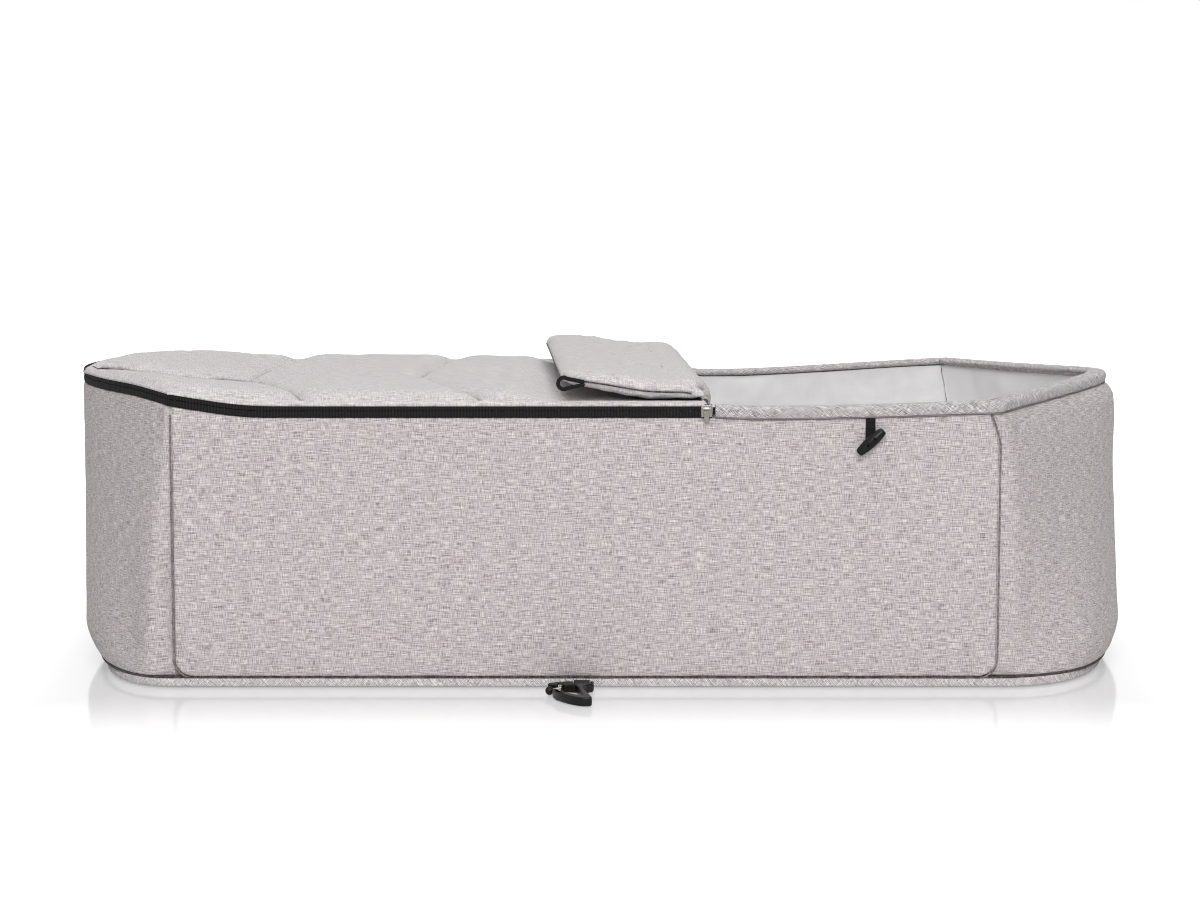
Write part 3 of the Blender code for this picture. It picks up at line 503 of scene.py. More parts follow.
def side_panel(name, first, seed, cut_corner):
    way = run_along(first, first + 1.0)
    length = way.length

    def spot(u, v):
        share = finer_ends(u)
        metres = groove / 2 + (length - groove) * share
        from_end = min(metres - groove / 2, length - groove / 2 - metres)
        into = min(max(from_end, 0.0), side_panel_corner)
        bottom = wall_bottom + side_panel_corner - math.sqrt(
            side_panel_corner ** 2 - (side_panel_corner - into) ** 2)
        station = way(metres / length)[0]
        top = top_at(station)
        hem = 0.0005 * uneven(metres * 30.0, 0.0, seed)
        bottom += hem * (1.0 if from_end > side_panel_corner else 0.0)
        z = bottom + (top - bottom) * finer_ends(v)
        near_edge = min(from_end, z - bottom, (top - z) * 2.0)
        inset = edge_inset(near_edge)
        inset -= rumple(metres, z, seed, z - bottom, top - z) * min(near_edge / 0.002, 1.0)
        cut = cut_corner * max(1.0 - (top - z) / cut_fades, 0.0) ** 1.2
        metres -= cut * max(1.0 - (length - metres) / 0.06, 0.0)
        station = way(metres / length)[0]
        return wall_spot(station, z, inset), (metres, z)

    panel = sewn_sheet(name, 190, 70, spot)
    thicken(panel, panel_cloth)
    return panel


def end_turn(station, z):
    """The ends turn away sharply a little past the corner, where the cloth stands in a crease."""
    corner, ridge = (head_corner, 0.003) if station % 4.0 < 2.5 else (foot_corner, 0.0125)
    beyond = abs(outline(station, z).x) - corner
    turned = smooth(beyond, ridge, ridge + 0.028) * (1.0 - smooth(beyond, 0.04, 0.08))
    crease = math.exp(-((beyond - ridge) / 0.0022) ** 2)
    depth = 0.0085 * smooth(z, 0.0, 0.030) * (1.0 - smooth(z, 0.020, 0.185))
    return depth * turned - 0.0007 * crease


def end_panel(name, first, seed):
    under = 0.020
    way = run_along(first - under, first + 1.0 + under)
    start = (outline(first, side_top) - outline(first - under, side_top)).length

    def spot(u, v):
        station, metres = way(finer_ends(u, 0.55))
        past = min(metres - start, way.length - start - metres)
        bottom = wall_bottom + 0.0006 * uneven(metres * 30.0, 4.0, seed)
        top = top_at(station)
        z = bottom + (top - bottom) * finer_ends(v)
        near_edge = min(z - bottom, (top - z) * 2.0)
        inset = edge_inset(near_edge)
        inset += head_tuck(station) * max(1.0 - (top - z) / 0.010, 0.0) ** 1.5
        shoulder = math.exp(-((top - z - 0.022) / 0.022) ** 2) if first < 2.0 else 0.0
        inset -= 0.0022 * shoulder * math.sin(math.pi * clamped(metres / way.length))
        inset += 0.0026 * (1.0 - smooth(past, -0.0005, 0.0042))
        inset += end_turn(station, z)
        inset -= rumple(metres, z, seed, z - bottom, top - z) * min(near_edge / 0.002, 1.0)
        return wall_spot(station, z, inset), (metres, z)

    panel = sewn_sheet(name, 170, 70, spot, True)
    thicken(panel, panel_cloth)
    return panel


for side, first, seed, cut_corner in (("near", 0.0, 1.0, 0.007), ("far", 2.0, 21.0, 0.0)):
    panel = side_panel(f"side_cloth_{side}", first, seed, cut_corner)
    dress(panel, melange, "body", "melange_fabric", f"side_panel_{side}")
for end, first, seed in (("head", 1.0, 41.0), ("foot", 3.0, 61.0)):
    panel = end_panel(f"end_cloth_{end}", first, seed)
    dress(panel, melange, "body", "melange_fabric", f"end_panel_{end}", f"end_foam_{end}")

# The panels' edges stand over a dark line, all round the side panels and above the base binding:
# thin cords of thread, whose dark tone is painted shadow of the gap under the edges.

# Spun thread shows as a dull dark line, its tone darkened as painted shadow; between the panels
# it lies less deep in the shadow, so that tone is lighter.
thread_and_painted_shadow = mottled("thread_and_painted_shadow", "2f282b", "5c5256", 0.9, 500.0, at=(0.4, 0.6))
groove_thread_and_painted_shadow = mottled("groove_thread_and_painted_shadow", "6a6064", "93898d", 0.9, 500.0, at=(0.4, 0.6))


def welt_line(first, cut_corner):
    """The line round a side panel: down one edge, round the corners, along below and up again."""
    radius = side_panel_corner + 0.0009
    left = groove / 2 + side_panel_corner
    low = wall_bottom + side_panel_corner
    plan = []
    start = side_top + 0.002
    for i in range(40):
        plan.append((left - radius, start - (start - low) * i / 39))
    for i in range(1, 13):
        angle = math.pi + math.pi / 2 * i / 12
        plan.append((left + radius * math.cos(angle), low + radius * math.sin(angle)))
    plan += [(side_length - metres, z) for metres, z in reversed(plan)]
    points = []
    for i, (metres, z) in enumerate(plan):
        top = top_at(first + clamped(metres / side_length))
        if i > len(plan) / 2:
            metres -= cut_corner * max(1.0 - (top - z) / cut_fades, 0.0) ** 1.2
        waver = 0.0003 * uneven(metres * 40.0, z * 40.0, first)
        points.append(wall_spot(first + metres / side_length, min(z, top - 0.0005),
                                0.0013 + waver))
    return points


for side, first, cut_corner in (("near", 0.0, 0.007), ("far", 2.0, 0.0)):
    welt = cord_along(f"panel_shadow_welt_{side}", welt_line(first, cut_corner), 0.0006,
                      Vector((0.0, 1.0, 0.0)))
    dress(welt, groove_thread_and_painted_shadow, "body", "melange_fabric")
base_seam_level = 0.0074
base_line = []
for i in range(401):
    station = round_base(i / 400)[0]
    turn = end_turn(station, base_seam_level) if int(station % 4.0) % 2 else 0.0
    base_line.append(wall_spot(station, base_seam_level, 0.0016 + max(turn, 0.0)))
dress(cord_along("base_seam_shadow_line", base_line, 0.0009), thread_and_painted_shadow, "body", "binding_tape")

# Wall linings
# The same cotton as on the floor hangs inside the walls, caught under the rim binding and the
# zip. It is loose enough for soft slanting folds, with small gathers under its top seam.

lining_face, lining_low, lining_tucked = 0.0116, 0.0068, 0.0034


def wall_lining(name, first, seed):
    way = run_along(first, first + 1.0)

    def spot(u, v):
        station, metres = way(u)
        top = top_at(station) + lining_tucked
        z = lining_low + (top - lining_low) * v
        slant = uneven((metres + 0.55 * z) * 17.0, (z - 0.3 * metres) * 6.0, seed)
        cross = uneven((metres - 0.8 * z) * 26.0, z * 11.0, seed + 3.0)
        gather = uneven(metres * 75.0, z * 8.0, seed + 7.0)
        held = min(min(metres, way.length - metres) / 0.02, 1.0) * min((top - z) / 0.006, 1.0)
        fold = 0.0003 + 0.0036 * slant + 0.0014 * cross
        fold += 0.0013 * gather * math.exp(-(top - z) / 0.02)
        return wall_spot(station, z, lining_face + max(fold, -0.0003) * held), (metres, z)

    cloth = sewn_sheet(name, 150, 56, spot)
    thicken(cloth, 0.0008, 1.0)
    return cloth


# Painted light: the head lining is the same cotton drawn near white, lighter than the rest, as if
# more lit.
head_cotton_painted_light = cotton("head_cotton_painted_light", "fbfafa", "ffffff")
for where, first, seed in (("near", 0.0, 80.0), ("head", 1.0, 90.0), ("far", 2.0, 100.0),
                           ("foot", 3.0, 110.0)):
    cloth = wall_lining(f"wall_lining_{where}", first, seed)
    dress(cloth, head_cotton_painted_light if where == "head" else lining_cotton, "body", "lining_cotton",
          f"lining_{where}")

# Lining seams
# The four wall linings are overlocked together at the corners with a darker thread, whose dark tone
# is partly painted shadow of the seam, and each seam wanders a little as it goes down.

seam_thread_and_painted_shadow, tree, shader = plain_material("seam_thread_and_painted_shadow", 0.85)
place = node(tree, "TexCoord")
twist = node(tree, "TexWave", {"Vector": place.outputs["Object"], "Scale": 260.0,
                               "Distortion": 1.0}, bands_direction="Z")
ramp = node(tree, "ValToRGB", {"Fac": twist.outputs["Fac"]})
ramp.color_ramp.elements[0].color = colour("6b5d61")
ramp.color_ramp.elements[1].color = colour("958a8f")
tree.links.new(ramp.outputs["Color"], shader.inputs["Base Color"])


def corner_seam(name, station, seed):
    def spot(u, v):
        z = 0.034 + (top_at(station) - 0.033) * u
        middle = wall_spot(station, z, lining_face + 0.0003)
        wander = 0.0012 * uneven(z * 70.0, 0.0, seed)
        angle = 2.0 * math.pi * v
        ring = Vector((math.cos(angle), math.sin(angle), 0.0)) * 0.0005
        return middle + ring + Vector((wander, 0.0, 0.0)), (z, 0.003 * v)

    seam = sewn_sheet(name, 90, 8, spot)
    tidy_mesh(seam)
    return seam


for i, station in enumerate((0.0, 1.0, 2.0, 3.0)):
    seam = corner_seam(f"lining_seam_{i + 1}", station, 7.0 * i)
    dress(seam, seam_thread_and_painted_shadow, "body", "lining_cotton")

# Mattress
# A flat foam pad in a soft pale knitted cover lies on the floor. It is crowned, its edge is
# rounded, and it only touches the floor at its underside.

knit = cotton("mattress_knit", "d6d3d4", "e2e0e0", 1.6)
mattress_low, mattress_tall, mattress_play = 0.0070, 0.0270, 0.0150


def mattress_spot(u, v):
    station = -0.5 + 2.0 * finer_ends(u, 0.35)
    side = wall_spot(station, 0.020, mattress_play)
    angle = 2.0 * math.pi * v
    c, s = math.cos(angle), math.sin(angle)
    wide = math.copysign(abs(c) ** 0.22, c)
    end_share = min(abs(side.y) / 0.06, 1.0)
    tall = mattress_tall / 2 * math.copysign(abs(s) ** 0.5, s) * (0.25 + 0.75 * end_share ** 0.5)
    crown = 0.0055 * max(s, 0.0) ** 2 * end_share
    crease = 0.0009 * uneven(side.x * 14.0, side.y * wide * 14.0, 5.0)
    z = mattress_low + mattress_tall / 2 + tall + crown + (crease if s > 0.2 else 0.0)
    return Vector((side.x, -side.y * wide, z)), (side.x, z - side.y * wide)


mattress_pad = sewn_sheet("mattress_pad", 130, 96, mattress_spot)
tidy_mesh(mattress_pad)
dress(mattress_pad, knit, "body", "mattress_cover", "mattress")

# Rim binding
# A wider bias tape is folded over the top of the wall round the open head part and stitched
# through. Outside it shows about 9 mm tall over a fine dark stitching line.

zip_end, far_zip_end = 0.079, 0.079 - 0.0135
rim_tall, rim_gap = 0.0094, 0.0024
near_at = (zip_end + foot_corner) / side_length
far_at = 2.0 + (head_corner - far_zip_end) / side_length
round_head = run_along(near_at + rim_gap / side_length, far_at - rim_gap / side_length)
rim_section = [(0.0011, 0.0002), (-0.0004, 0.0012), (-0.0011, 0.0036), (-0.0009, 0.0066),
               (0.0010, 0.0082), (0.0040, 0.0089), (0.0090, 0.0088), (0.0125, 0.0080),
               (0.0139, 0.0068), (0.0138, 0.0054), (0.0126, 0.0045), (0.0104, 0.0040),
               (0.0060, 0.0010)]


def eased(a, b, c, d, t):
    """A point a share t of the way from b to c, on a smooth curve that passes a and d too."""
    return b + 0.5 * t * (c - a + t * (2.0 * a - 5.0 * b + 4.0 * c - d
                                       + t * (3.0 * (b - c) + d - a)))


def round_section(section, share):
    """A point of a closed section, smoothed through its corners."""
    count = len(section)
    place = share % 1.0 * count
    i = int(place)
    return eased(*(Vector(section[(i + k) % count]) for k in (-1, 0, 1, 2)), place % 1.0)


def rim_roll_spot(u, v):
    station, metres = round_head(u)
    inset, lift = round_section(rim_section, v)
    wave = 0.0003 * uneven(metres * 42.0, v * 3.0, 1.0)
    sag = 0.0004 * uneven(metres * 13.0, 0.0, 8.0)
    z = top_at(station) + lift + sag * lift / rim_tall
    return wall_spot(station, z, inset - wave + head_tuck(station)), (metres, 0.047 * v)


rim_roll = sewn_sheet("rim_binding_roll", 420, 60, rim_roll_spot)
tidy_mesh(rim_roll)
dress(rim_roll, binding_cloth, "body", "binding_tape", "rim_binding")


# The stitching line sits in the crease under the roll.
def rim_stitch_spot(u, v):
    station, metres = round_head(u)
    top = top_at(station)
    angle = 2.0 * math.pi * v
    waver = 0.0003 * uneven(metres * 30.0, 0.0, 3.0)
    return wall_spot(station, top + waver + 0.0005 * math.sin(angle),
                     head_tuck(station) - 0.00005 - 0.0004 * math.cos(angle)), (metres, v * 0.002)


stitch_line = sewn_sheet("rim_stitch_line", 420, 6, rim_stitch_spot)
tidy_mesh(stitch_line)
dress(stitch_line, seam_thread_and_painted_shadow, "body", "binding_tape")

# Zip
# A black coil zip runs round the foot end. Its two woven tapes are ribbed across, and their
# fine coils lie behind them, where the teeth of one side stand between those of the other.

tape_tall, zip_gap, tape_inset = 0.0037, 0.0017, 0.0006
zip_tall = 2 * tape_tall + zip_gap


def ribbed(name, shade, light, roughness, rib, distortion, bump, detail=2.0, turn=0.0,
           **sockets):
    """A woven tape or ribbon, whose fine ribs run across its cut between two tones."""
    material, tree, shader = plain_material(name, roughness, **sockets)
    cut = node(tree, "UVMap", uv_map="UVMap")
    turned = node(tree, "Mapping", {"Vector": cut.outputs[0], "Rotation": (0.0, 0.0, turn)})
    ribs = node(tree, "TexWave", {"Vector": turned.outputs[0], "Scale": wave_pitch / rib,
                                  "Distortion": distortion, "Detail": detail},
                bands_direction="X")
    ramp = node(tree, "ValToRGB", {"Fac": ribs.outputs["Fac"]})
    for element, tone in zip(ramp.color_ramp.elements, (shade, light)):
        element.color = colour(tone)
    tree.links.new(ramp.outputs["Color"], shader.inputs["Base Color"])
    raised = node(tree, "Bump", {"Strength": bump[0], "Distance": bump[1],
                                 "Height": ribs.outputs["Fac"]})
    tree.links.new(raised.outputs[0], shader.inputs["Normal"])
    return material


# Woven polyester tape is dull, with ribs that catch a little light.
zip_black = ribbed("zip_tape_black", "121112", "272526", 0.78, 0.0022, 0.3, (0.7, 0.0003),
                   detail=0.0, Specular_IOR_Level=0.15)
round_foot = run_along(far_at, 4.0 + near_at)


def zip_tape_strip(name, low, high, lean):
    """One tape: a flat band whose inner edge turns in towards its coil."""
    def spot(u, v):
        station, metres = round_foot(u)
        top = top_at(station)
        share = v if lean > 0 else 1.0 - v
        turn = max(1.0 - share / 0.16, 0.0)
        swell = 0.00025 * math.sin(math.pi * v)
        z = top + low + (high - low) * v
        return wall_spot(station, z, tape_inset + 0.0004 * turn ** 2 - swell), (metres, z)

    strip = sewn_sheet(name, 300, 12, spot)
    thicken(strip, 0.0009)
    return strip


lower_tape = zip_tape_strip("zip_band_lower", 0.0001, tape_tall + zip_gap * 0.48, -1)
upper_tape = zip_tape_strip("zip_band_upper", tape_tall + zip_gap * 0.52, zip_tall + 0.0002, 1)
dress(lower_tape, zip_black, "body", "zip_tape", "zip_tape_lower")
dress(upper_tape, zip_black, "cover", "zip_tape", "zip_tape_upper")


def coil_row(name, tooth_z, phase):
    """A row of coil teeth, each a short rounded bar, copied along the tape."""
    bpy.ops.object.select_all(action="DESELECT")
    bpy.ops.mesh.primitive_cylinder_add(vertices=6, radius=0.00042, depth=0.0020)
    tooth = bpy.context.object
    pattern = bmesh.new()
    pattern.from_mesh(tooth.data)
    bpy.data.objects.remove(tooth, do_unlink=True)
    row = bmesh.new()
    pitch = 0.0015
    for i in range(int(round_foot.length / pitch)):
        station, metres = round_foot((i + phase) * pitch / round_foot.length)
        top = top_at(station)
        spot = wall_spot(station, top + tooth_z, 0.0027)
        copies = {v: row.verts.new(v.co + spot) for v in pattern.verts}
        for face in pattern.faces:
            row.faces.new([copies[v] for v in face.verts])
    mesh = bpy.data.meshes.new(name)
    row.to_mesh(mesh)
    row.free()
    pattern.free()
    teeth = bpy.data.objects.new(name, mesh)
    bpy.context.scene.collection.objects.link(teeth)
    mesh.shade_smooth()
    return teeth


# Extruded nylon is smooth and has a faint gloss.
coil_nylon = mottled("coil_nylon", "0f0e0f", "1a191a", 0.42, 900.0)
dress(coil_row("zip_teeth_lower", tape_tall - 0.0004, 0.25), coil_nylon, "body",
      "zip_tape", "zip_coil_lower")
dress(coil_row("zip_teeth_upper", tape_tall + zip_gap + 0.0004, 0.75), coil_nylon, "cover",
      "zip_tape", "zip_coil_upper")

# Quilted cover
# Two layers of cloth with thick wadding between them are quilted along a centre seam and three
# chevrons. The wadding lifts each field into a soft cushion, and the cloth puckers at the seams.

cover_half = half_width + 0.0005
cover_level, underside_level = 0.2027, 0.1992
cover_edge_over_zip = 0.0019
quilt_puff = 0.0086
cover_end, cover_turns_from = 0.0715, -0.030
quilt_first_seam, quilt_pitch = 0.0850, 0.1263


def foot_edge(y):
    return -foot_corner - end_reach(False, abs(y) / half_width, side_top) - 0.0005


def hinge_shift(y):
    """The cover's head edge, with the flap's hinge line, runs a little aslant."""
    return -0.0065 - 0.0085 * y / half_width


def quilt_guide(index, y):
    """The foot edge, the three chevron seams and the head edge, at a distance from the middle."""
    if index == 0:
        return foot_edge(y)
    if index == 4:
        return cover_end
    vertex = cover_end - quilt_first_seam - quilt_pitch * (3 - index)
    slant = 0.16 if y > 0.0 else 0.345
    return min(vertex + slant * abs(y), cover_end - 0.0142)


def cover_sag(x, y):
    """The cover hangs a little along its middle and on its far side."""
    middle = math.exp(-(y / 0.035) ** 2) * (1.0 - smooth(x, -0.10, 0.0))
    return 0.0026 * smooth(y, 0.0, 0.12) + 0.0030 * middle


def quilt_spot(u, v):
    half = min(int(v * 2.0), 1)
    y = cover_half * (half + finer_ends(v * 2.0 - half, 0.7) - 1.0)
    place = min(u * 4.0, 3.99999)
    cell = int(place)
    share = finer_ends(place - cell, 0.8)
    start, end = quilt_guide(cell, y), quilt_guide(cell + 1, y)
    x = start + (end - start) * share
    x += hinge_shift(y) * smooth(x, cover_turns_from, cover_end)
    edge_level = rim_height(x, y) + zip_tall + cover_edge_over_zip
    level = cover_level
    if cell == 0:
        foot_level = rim_height(start, y) + zip_tall + cover_edge_over_zip
        level += (foot_level - cover_level) * (1.0 - share) ** 2
    level -= cover_sag(x, y)
    from_side = cover_half - abs(y)
    level += (edge_level - level) * max(1.0 - from_side / 0.010, 0.0) ** 1.5
    lean = 0.93 if cell else 0.80
    from_seam = min(share, 1.0 - share) * (end - start)
    from_edge = from_side
    field = pad_rise(from_seam * lean, 0.021)
    if cell == 0:
        from_foot = share * (end - start) * lean
        from_edge = min(from_side, from_foot)
        field = pad_rise(from_foot - 0.008, 0.018) * pad_rise((1.0 - share) * (end - start), 0.021)
        field *= 0.30 + 0.70 * pad_rise(abs(y), 0.020)
        field *= 0.40 + 0.60 * smooth(-y, 0.03, 0.11) if y < 0.0 else 1.0
    field *= pad_rise(from_side - 0.008, 0.022)
    puff = quilt_puff * field * (1.0 + 0.14 * uneven(x * 9.0, y * 9.0, 3.0))
    puff *= (1.0 - 0.9 * smooth(x, -0.062, -0.030)) * (1.0 + 0.12 * smooth(y, 0.0, 0.12))
    pucker = 0.0018 * uneven(x * 30.0, y * 95.0, 6.0) * math.exp(-from_seam / 0.012)
    pucker += 0.0018 * uneven(x * 95.0, y * 20.0, 9.0) * math.exp(
        -min(abs(y), from_side) / 0.012)
    drift = 0.0011 * uneven(x * 34.0, y * 34.0, 12.0)
    drift += 0.0006 * uneven(x * 12.0, y * 80.0, 18.0)
    roll = 0.0016 * math.sin(math.pi * min(from_edge / 0.008, 1.0))
    roll -= 0.0018 * (1.0 - smooth(from_edge, 0.0, 0.0030))
    return Vector((x, y, level + puff + (pucker + drift) * min(field * 2.0, 1.0) + roll)), (x, y)


quilted = melange_cloth("quilted_cloth", "a39b9d", "cfcacb", "efecec", "c6c6cb")
quilt = sewn_sheet("quilted_cover", 256, 160, quilt_spot)
thicken(quilt, 0.0016)
dress(quilt, quilted, "cover", "quilted_fabric", "cover_top")


# The quilting is stitched in dark thread along the first field's middle and two chevrons; the
# thread's dark tone is partly painted shadow, and the cloth's colour beside it is painted shade.
seams = {"middle": [quilt_spot(0.25 * (i + 22) / 142, 0.5)[0] for i in range(121)]}
for index in (1, 2):
    seams[f"chevron_{index}"] = [quilt_spot(index / 4, (i + 14) / 188)[0] for i in range(161)]
for seam_name, points in seams.items():
    paint_seam_shade_along(quilt, points, 0.0022)
    dress(cord_along(f"quilt_seam_{seam_name}", points, 0.0006), thread_and_painted_shadow, "cover",
          "quilted_fabric")


def cover_under_spot(u, v):
    y = (cover_half - 0.008) * (2.0 * v - 1.0)
    start = foot_edge(y * 1.04) + 0.012
    x = start + (cover_end - start) * u
    x += hinge_shift(y) * smooth(x, cover_turns_from, cover_end)
    z = underside_level - cover_sag(x, y) + 0.0006 * uneven(x * 24.0, y * 24.0, 2.0)
    z += (rim_height(start, y) - side_top) * (1.0 - u) ** 8
    return Vector((x, y, z)), (x, y)


cover_under = sewn_sheet("cover_underside", 90, 60, cover_under_spot)
thicken(cover_under, 0.0008)
dress(cover_under, lining_cotton, "cover", "lining_cotton", "cover_lining")

# Wind flap
# A padded flap is sewn to the cover's head edge and folded back on it. Its two cloths meet in a
# seam a little under the middle of its thickness, and the seam draws small tucks.

flap_length, flap_corner = 0.1070, 0.030
flap_free = cover_end - flap_length
flap_low, flap_lift = 0.2057, 0.0090
flap_seam, flap_edge_round = 0.42, 0.015


def flap_skew(x, y):
    """The flap lies a little turned: its far side nearer the foot."""
    hinge = hinge_shift(y)
    return hinge + (-0.009 * y / half_width - hinge) * (cover_end - x) / flap_length


def flap_levels(x):
    share = (x - flap_free) / flap_length
    low = flap_low + flap_lift * (1.0 - smooth(share, 0.05, 0.65))
    thick = 0.0108 + 0.0040 * smooth(share, 0.08, 0.50) - 0.0014 * smooth(share, 0.50, 0.80)
    return low, thick * (1.0 - 0.35 * smooth(share, 0.82, 1.0))


def flap_half_at(x):
    into = min(max(x - flap_free, 0.0), flap_corner)
    return half_width - 0.0015 - flap_corner + math.sqrt(
        flap_corner ** 2 - (flap_corner - into) ** 2)


def flap_sheet(name, up):
    def spot(u, v):
        share = finer_ends(u, 0.7)
        x = flap_free + flap_length * share
        low, thick = flap_levels(x)
        half = flap_half_at(x)
        across = finer_ends(v, 0.7) * 2.0 - 1.0
        y = half * across
        edge = min(min(share, 1.0 - share) * flap_length, (1.0 - abs(across)) * half)
        seam = low + thick * flap_seam
        swell = thick * pad_rise(edge, flap_edge_round)
        tuck = uneven(x * 110.0, y * 110.0, 4.0 if up else 8.0)
        swell *= 1.0 + 0.42 * tuck * math.exp(-edge / 0.010)
        ripple = 0.0009 * uneven(x * 11.0, y * 70.0, 5.0)
        ripple += 0.0007 * uneven(x * 40.0, y * 30.0, 15.0)
        rise = (1.0 - flap_seam) * swell + ripple * min(edge / 0.02, 1.0)
        z = seam + (rise if up else -swell * flap_seam)
        return Vector((x + flap_skew(x, y), y, z)), (x, y)
    return sewn_sheet(name, 110, 170, spot)


flap_cloth = melange_cloth("flap_cloth", "a1989a", "cec8c9", "eeeaea", "c5c5ca")
flap_pad = flap_sheet("wind_flap_pad", True)
flap_under = flap_sheet("wind_flap_under", False)
bpy.ops.object.select_all(action="DESELECT")
flap_under.select_set(True)
bpy.context.view_layer.objects.active = flap_under
bpy.ops.object.mode_set(mode="EDIT")
bpy.ops.mesh.select_all(action="SELECT")
bpy.ops.mesh.flip_normals()
bpy.ops.object.mode_set(mode="OBJECT")
flap_pad.select_set(True)
bpy.context.view_layer.objects.active = flap_pad
bpy.ops.object.join()
tidy_mesh(flap_pad)
dress(flap_pad, flap_cloth, "flap", "flap_fabric", "wind_flap")

flap_rim = []
for i in range(121):
    share = (1.0 - i / 120) ** 2
    x = flap_free + (flap_length - 0.010) * share
    low, thick = flap_levels(x)
    flap_rim.append((x, flap_half_at(x), low + thick * flap_seam))
rim_line = [Vector((x + flap_skew(x, -y), -y, z)) for x, y, z in flap_rim]
rim_line += [Vector((flap_free + flap_skew(flap_free, y), y, flap_rim[-1][2]))
             for y in [flap_rim[-1][1] * (i / 30 - 1.0) for i in range(1, 60)]]
rim_line += [Vector((x + flap_skew(x, y), y, z)) for x, y, z in reversed(flap_rim)]
# Painted shade: the flap's colour is darkened along its seam, and the seam's dark cord is partly
# painted shadow.
paint_seam_shade_along(flap_pad, rim_line, 0.0014)
dress(cord_along("flap_seam_line", rim_line, 0.0005), thread_and_painted_shadow, "flap", "flap_fabric")

# The cover's own edge is hemmed under the flap's hinge line, and the cloth folds softly over both.

hem_half, hem_low, hem_tall = 0.1528, 0.2008, 0.0042
hinge_level = 0.2090


def hem_spot(u, v):
    y = hem_half * (2.0 * u - 1.0)
    angle = math.pi * (1.0 - v * 2.0) * 0.5
    crease = 1.0 + 0.12 * uneven(y * 60.0, v * 3.0, 2.0)
    x = 0.0736 + hinge_shift(y) + 0.0018 * math.sin(angle) * crease
    z = hem_low + hem_tall * math.cos(angle) ** 0.35
    return Vector((x, y, z)), (y, v * 0.02)


hem = sewn_sheet("cover_edge_fold", 130, 16, hem_spot)
thicken(hem, 0.0008, 1.0)
dress(hem, flap_cloth, "cover", "flap_fabric", "cover_hem")
fold_section = path_through([Vector((reach, 0.0, z)) for reach, z in (
    (-0.0220, 0.2178), (-0.0170, 0.2188), (-0.0115, 0.2190), (-0.0060, 0.2182), (-0.0010, 0.2163),
    (0.0030, 0.2132), (0.0056, 0.2092), (0.0066, 0.2046), (0.0056, 0.1998))])


def fold_spot(u, v):
    place = fold_section(v)
    half = 0.1662 - 0.0155 * smooth(v, 0.38, 0.70)
    across = finer_ends(u, 0.6) * 2.0 - 1.0
    y = half * across
    from_end = half - abs(y)
    crinkle = uneven(y * 150.0, v * 2.0, 3.0) * math.exp(-from_end / 0.03)
    soft = uneven(y * 38.0, v * 1.5, 7.0)
    lift = 0.0011 * crinkle + 0.0007 * soft
    shrink = 0.20 + 0.80 * pad_rise(from_end, flap_edge_round)
    x = (place.x + 0.006) * shrink - 0.006 + lift * v
    z = hinge_level + (place.z - hinge_level) * shrink + lift * (1.0 - v)
    return Vector((cover_end + hinge_shift(y) + x, y, z)), (y, 0.03 * v)


fold = sewn_sheet("flap_hinge_fold", 170, 28, fold_spot)
thicken(fold, 0.0009)
fold.data.materials.append(flap_cloth)
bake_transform(fold)

# Ribbon loops
# A narrow black grosgrain ribbon is doubled into a loop and stitched into the flap's seam at
# each free corner.

# Grosgrain has fine cross ribs and hardly any gloss.
grosgrain = ribbed("black_grosgrain", "0d0c0d", "1f1d1f", 0.7, 0.0008, 0.2, (0.6, 0.0002),
                   Specular_IOR_Level=0.15)


def ribbon_along(name, path, across, width, thickness):
    """A flat ribbon laid along its path, as wide as width says there, with soft edges."""
    metres = metres_along(path)
    count = len(path) - 1

    def point_at(u):
        place = min(max(u, 0.0) * count, count - 0.00001)
        i, t = int(place), place % 1.0
        return eased(*(path[min(max(i + k, 0), count)] for k in (-1, 0, 1, 2)), t), i, t

    def spot(u, v):
        point, i, t = point_at(u)
        way = point_at(min(u + 0.002, 1.0))[0] - point_at(max(u - 0.002, 0.0))[0]
        face = across.cross(way).normalized()
        angle = 2.0 * math.pi * v
        c, s = math.cos(angle), math.sin(angle)
        side = math.copysign(abs(c) ** 0.35, c) / 2 * width(u)
        rise = math.copysign(abs(s) ** 0.6, s) / 2 * thickness
        end = min(min(u, 1.0 - u) / 0.006, 1.0)
        return point + across * side * (0.9 + 0.1 * end) + face * rise * end, (
            metres[i] + (metres[i + 1] - metres[i]) * t, side)

    ribbon = sewn_sheet(name, count * 8, 32, spot)
    tidy_mesh(ribbon, 0.00001)
    return ribbon


stitch_x = flap_free + 0.0250
loop_radius, loop_wide, loop_thick = 0.0042, 0.0036, 0.0027
edge_low, edge_thick = flap_levels(stitch_x)
loop_z = edge_low + edge_thick * flap_seam
loop_x = stitch_x - 0.0160 + loop_radius - 0.0030
for side, sign in (("near", -1.0), ("far", 1.0)):
    y = sign * (flap_half_at(stitch_x) + 0.0003 + 0.00175 + (0.0009 if sign > 0 else 0.0))
    path = [Vector((stitch_x, y, loop_z + 0.0008))]
    path += [Vector((loop_x + loop_radius * math.cos(angle), y,
                     loop_z + loop_radius * math.sin(angle)))
             for angle in [math.radians(52 + 256 * i / 10) for i in range(11)]]
    path.append(Vector((stitch_x, y, loop_z - 0.0008)))
    loop = ribbon_along(f"flap_loop_ribbon_{side}", path, Vector((0.0, 1.0, 0.0)),
                        lambda u: loop_wide, loop_thick)
    dress(loop, grosgrain, f"flap_loop_{side}", "ribbon_black", f"flap_loop_{side}")

# Zip slider and pull
# Both are die-cast zinc with a bright plated finish. The slider's two plates hold the tapes, and
# the pull hangs from the staple on its front.

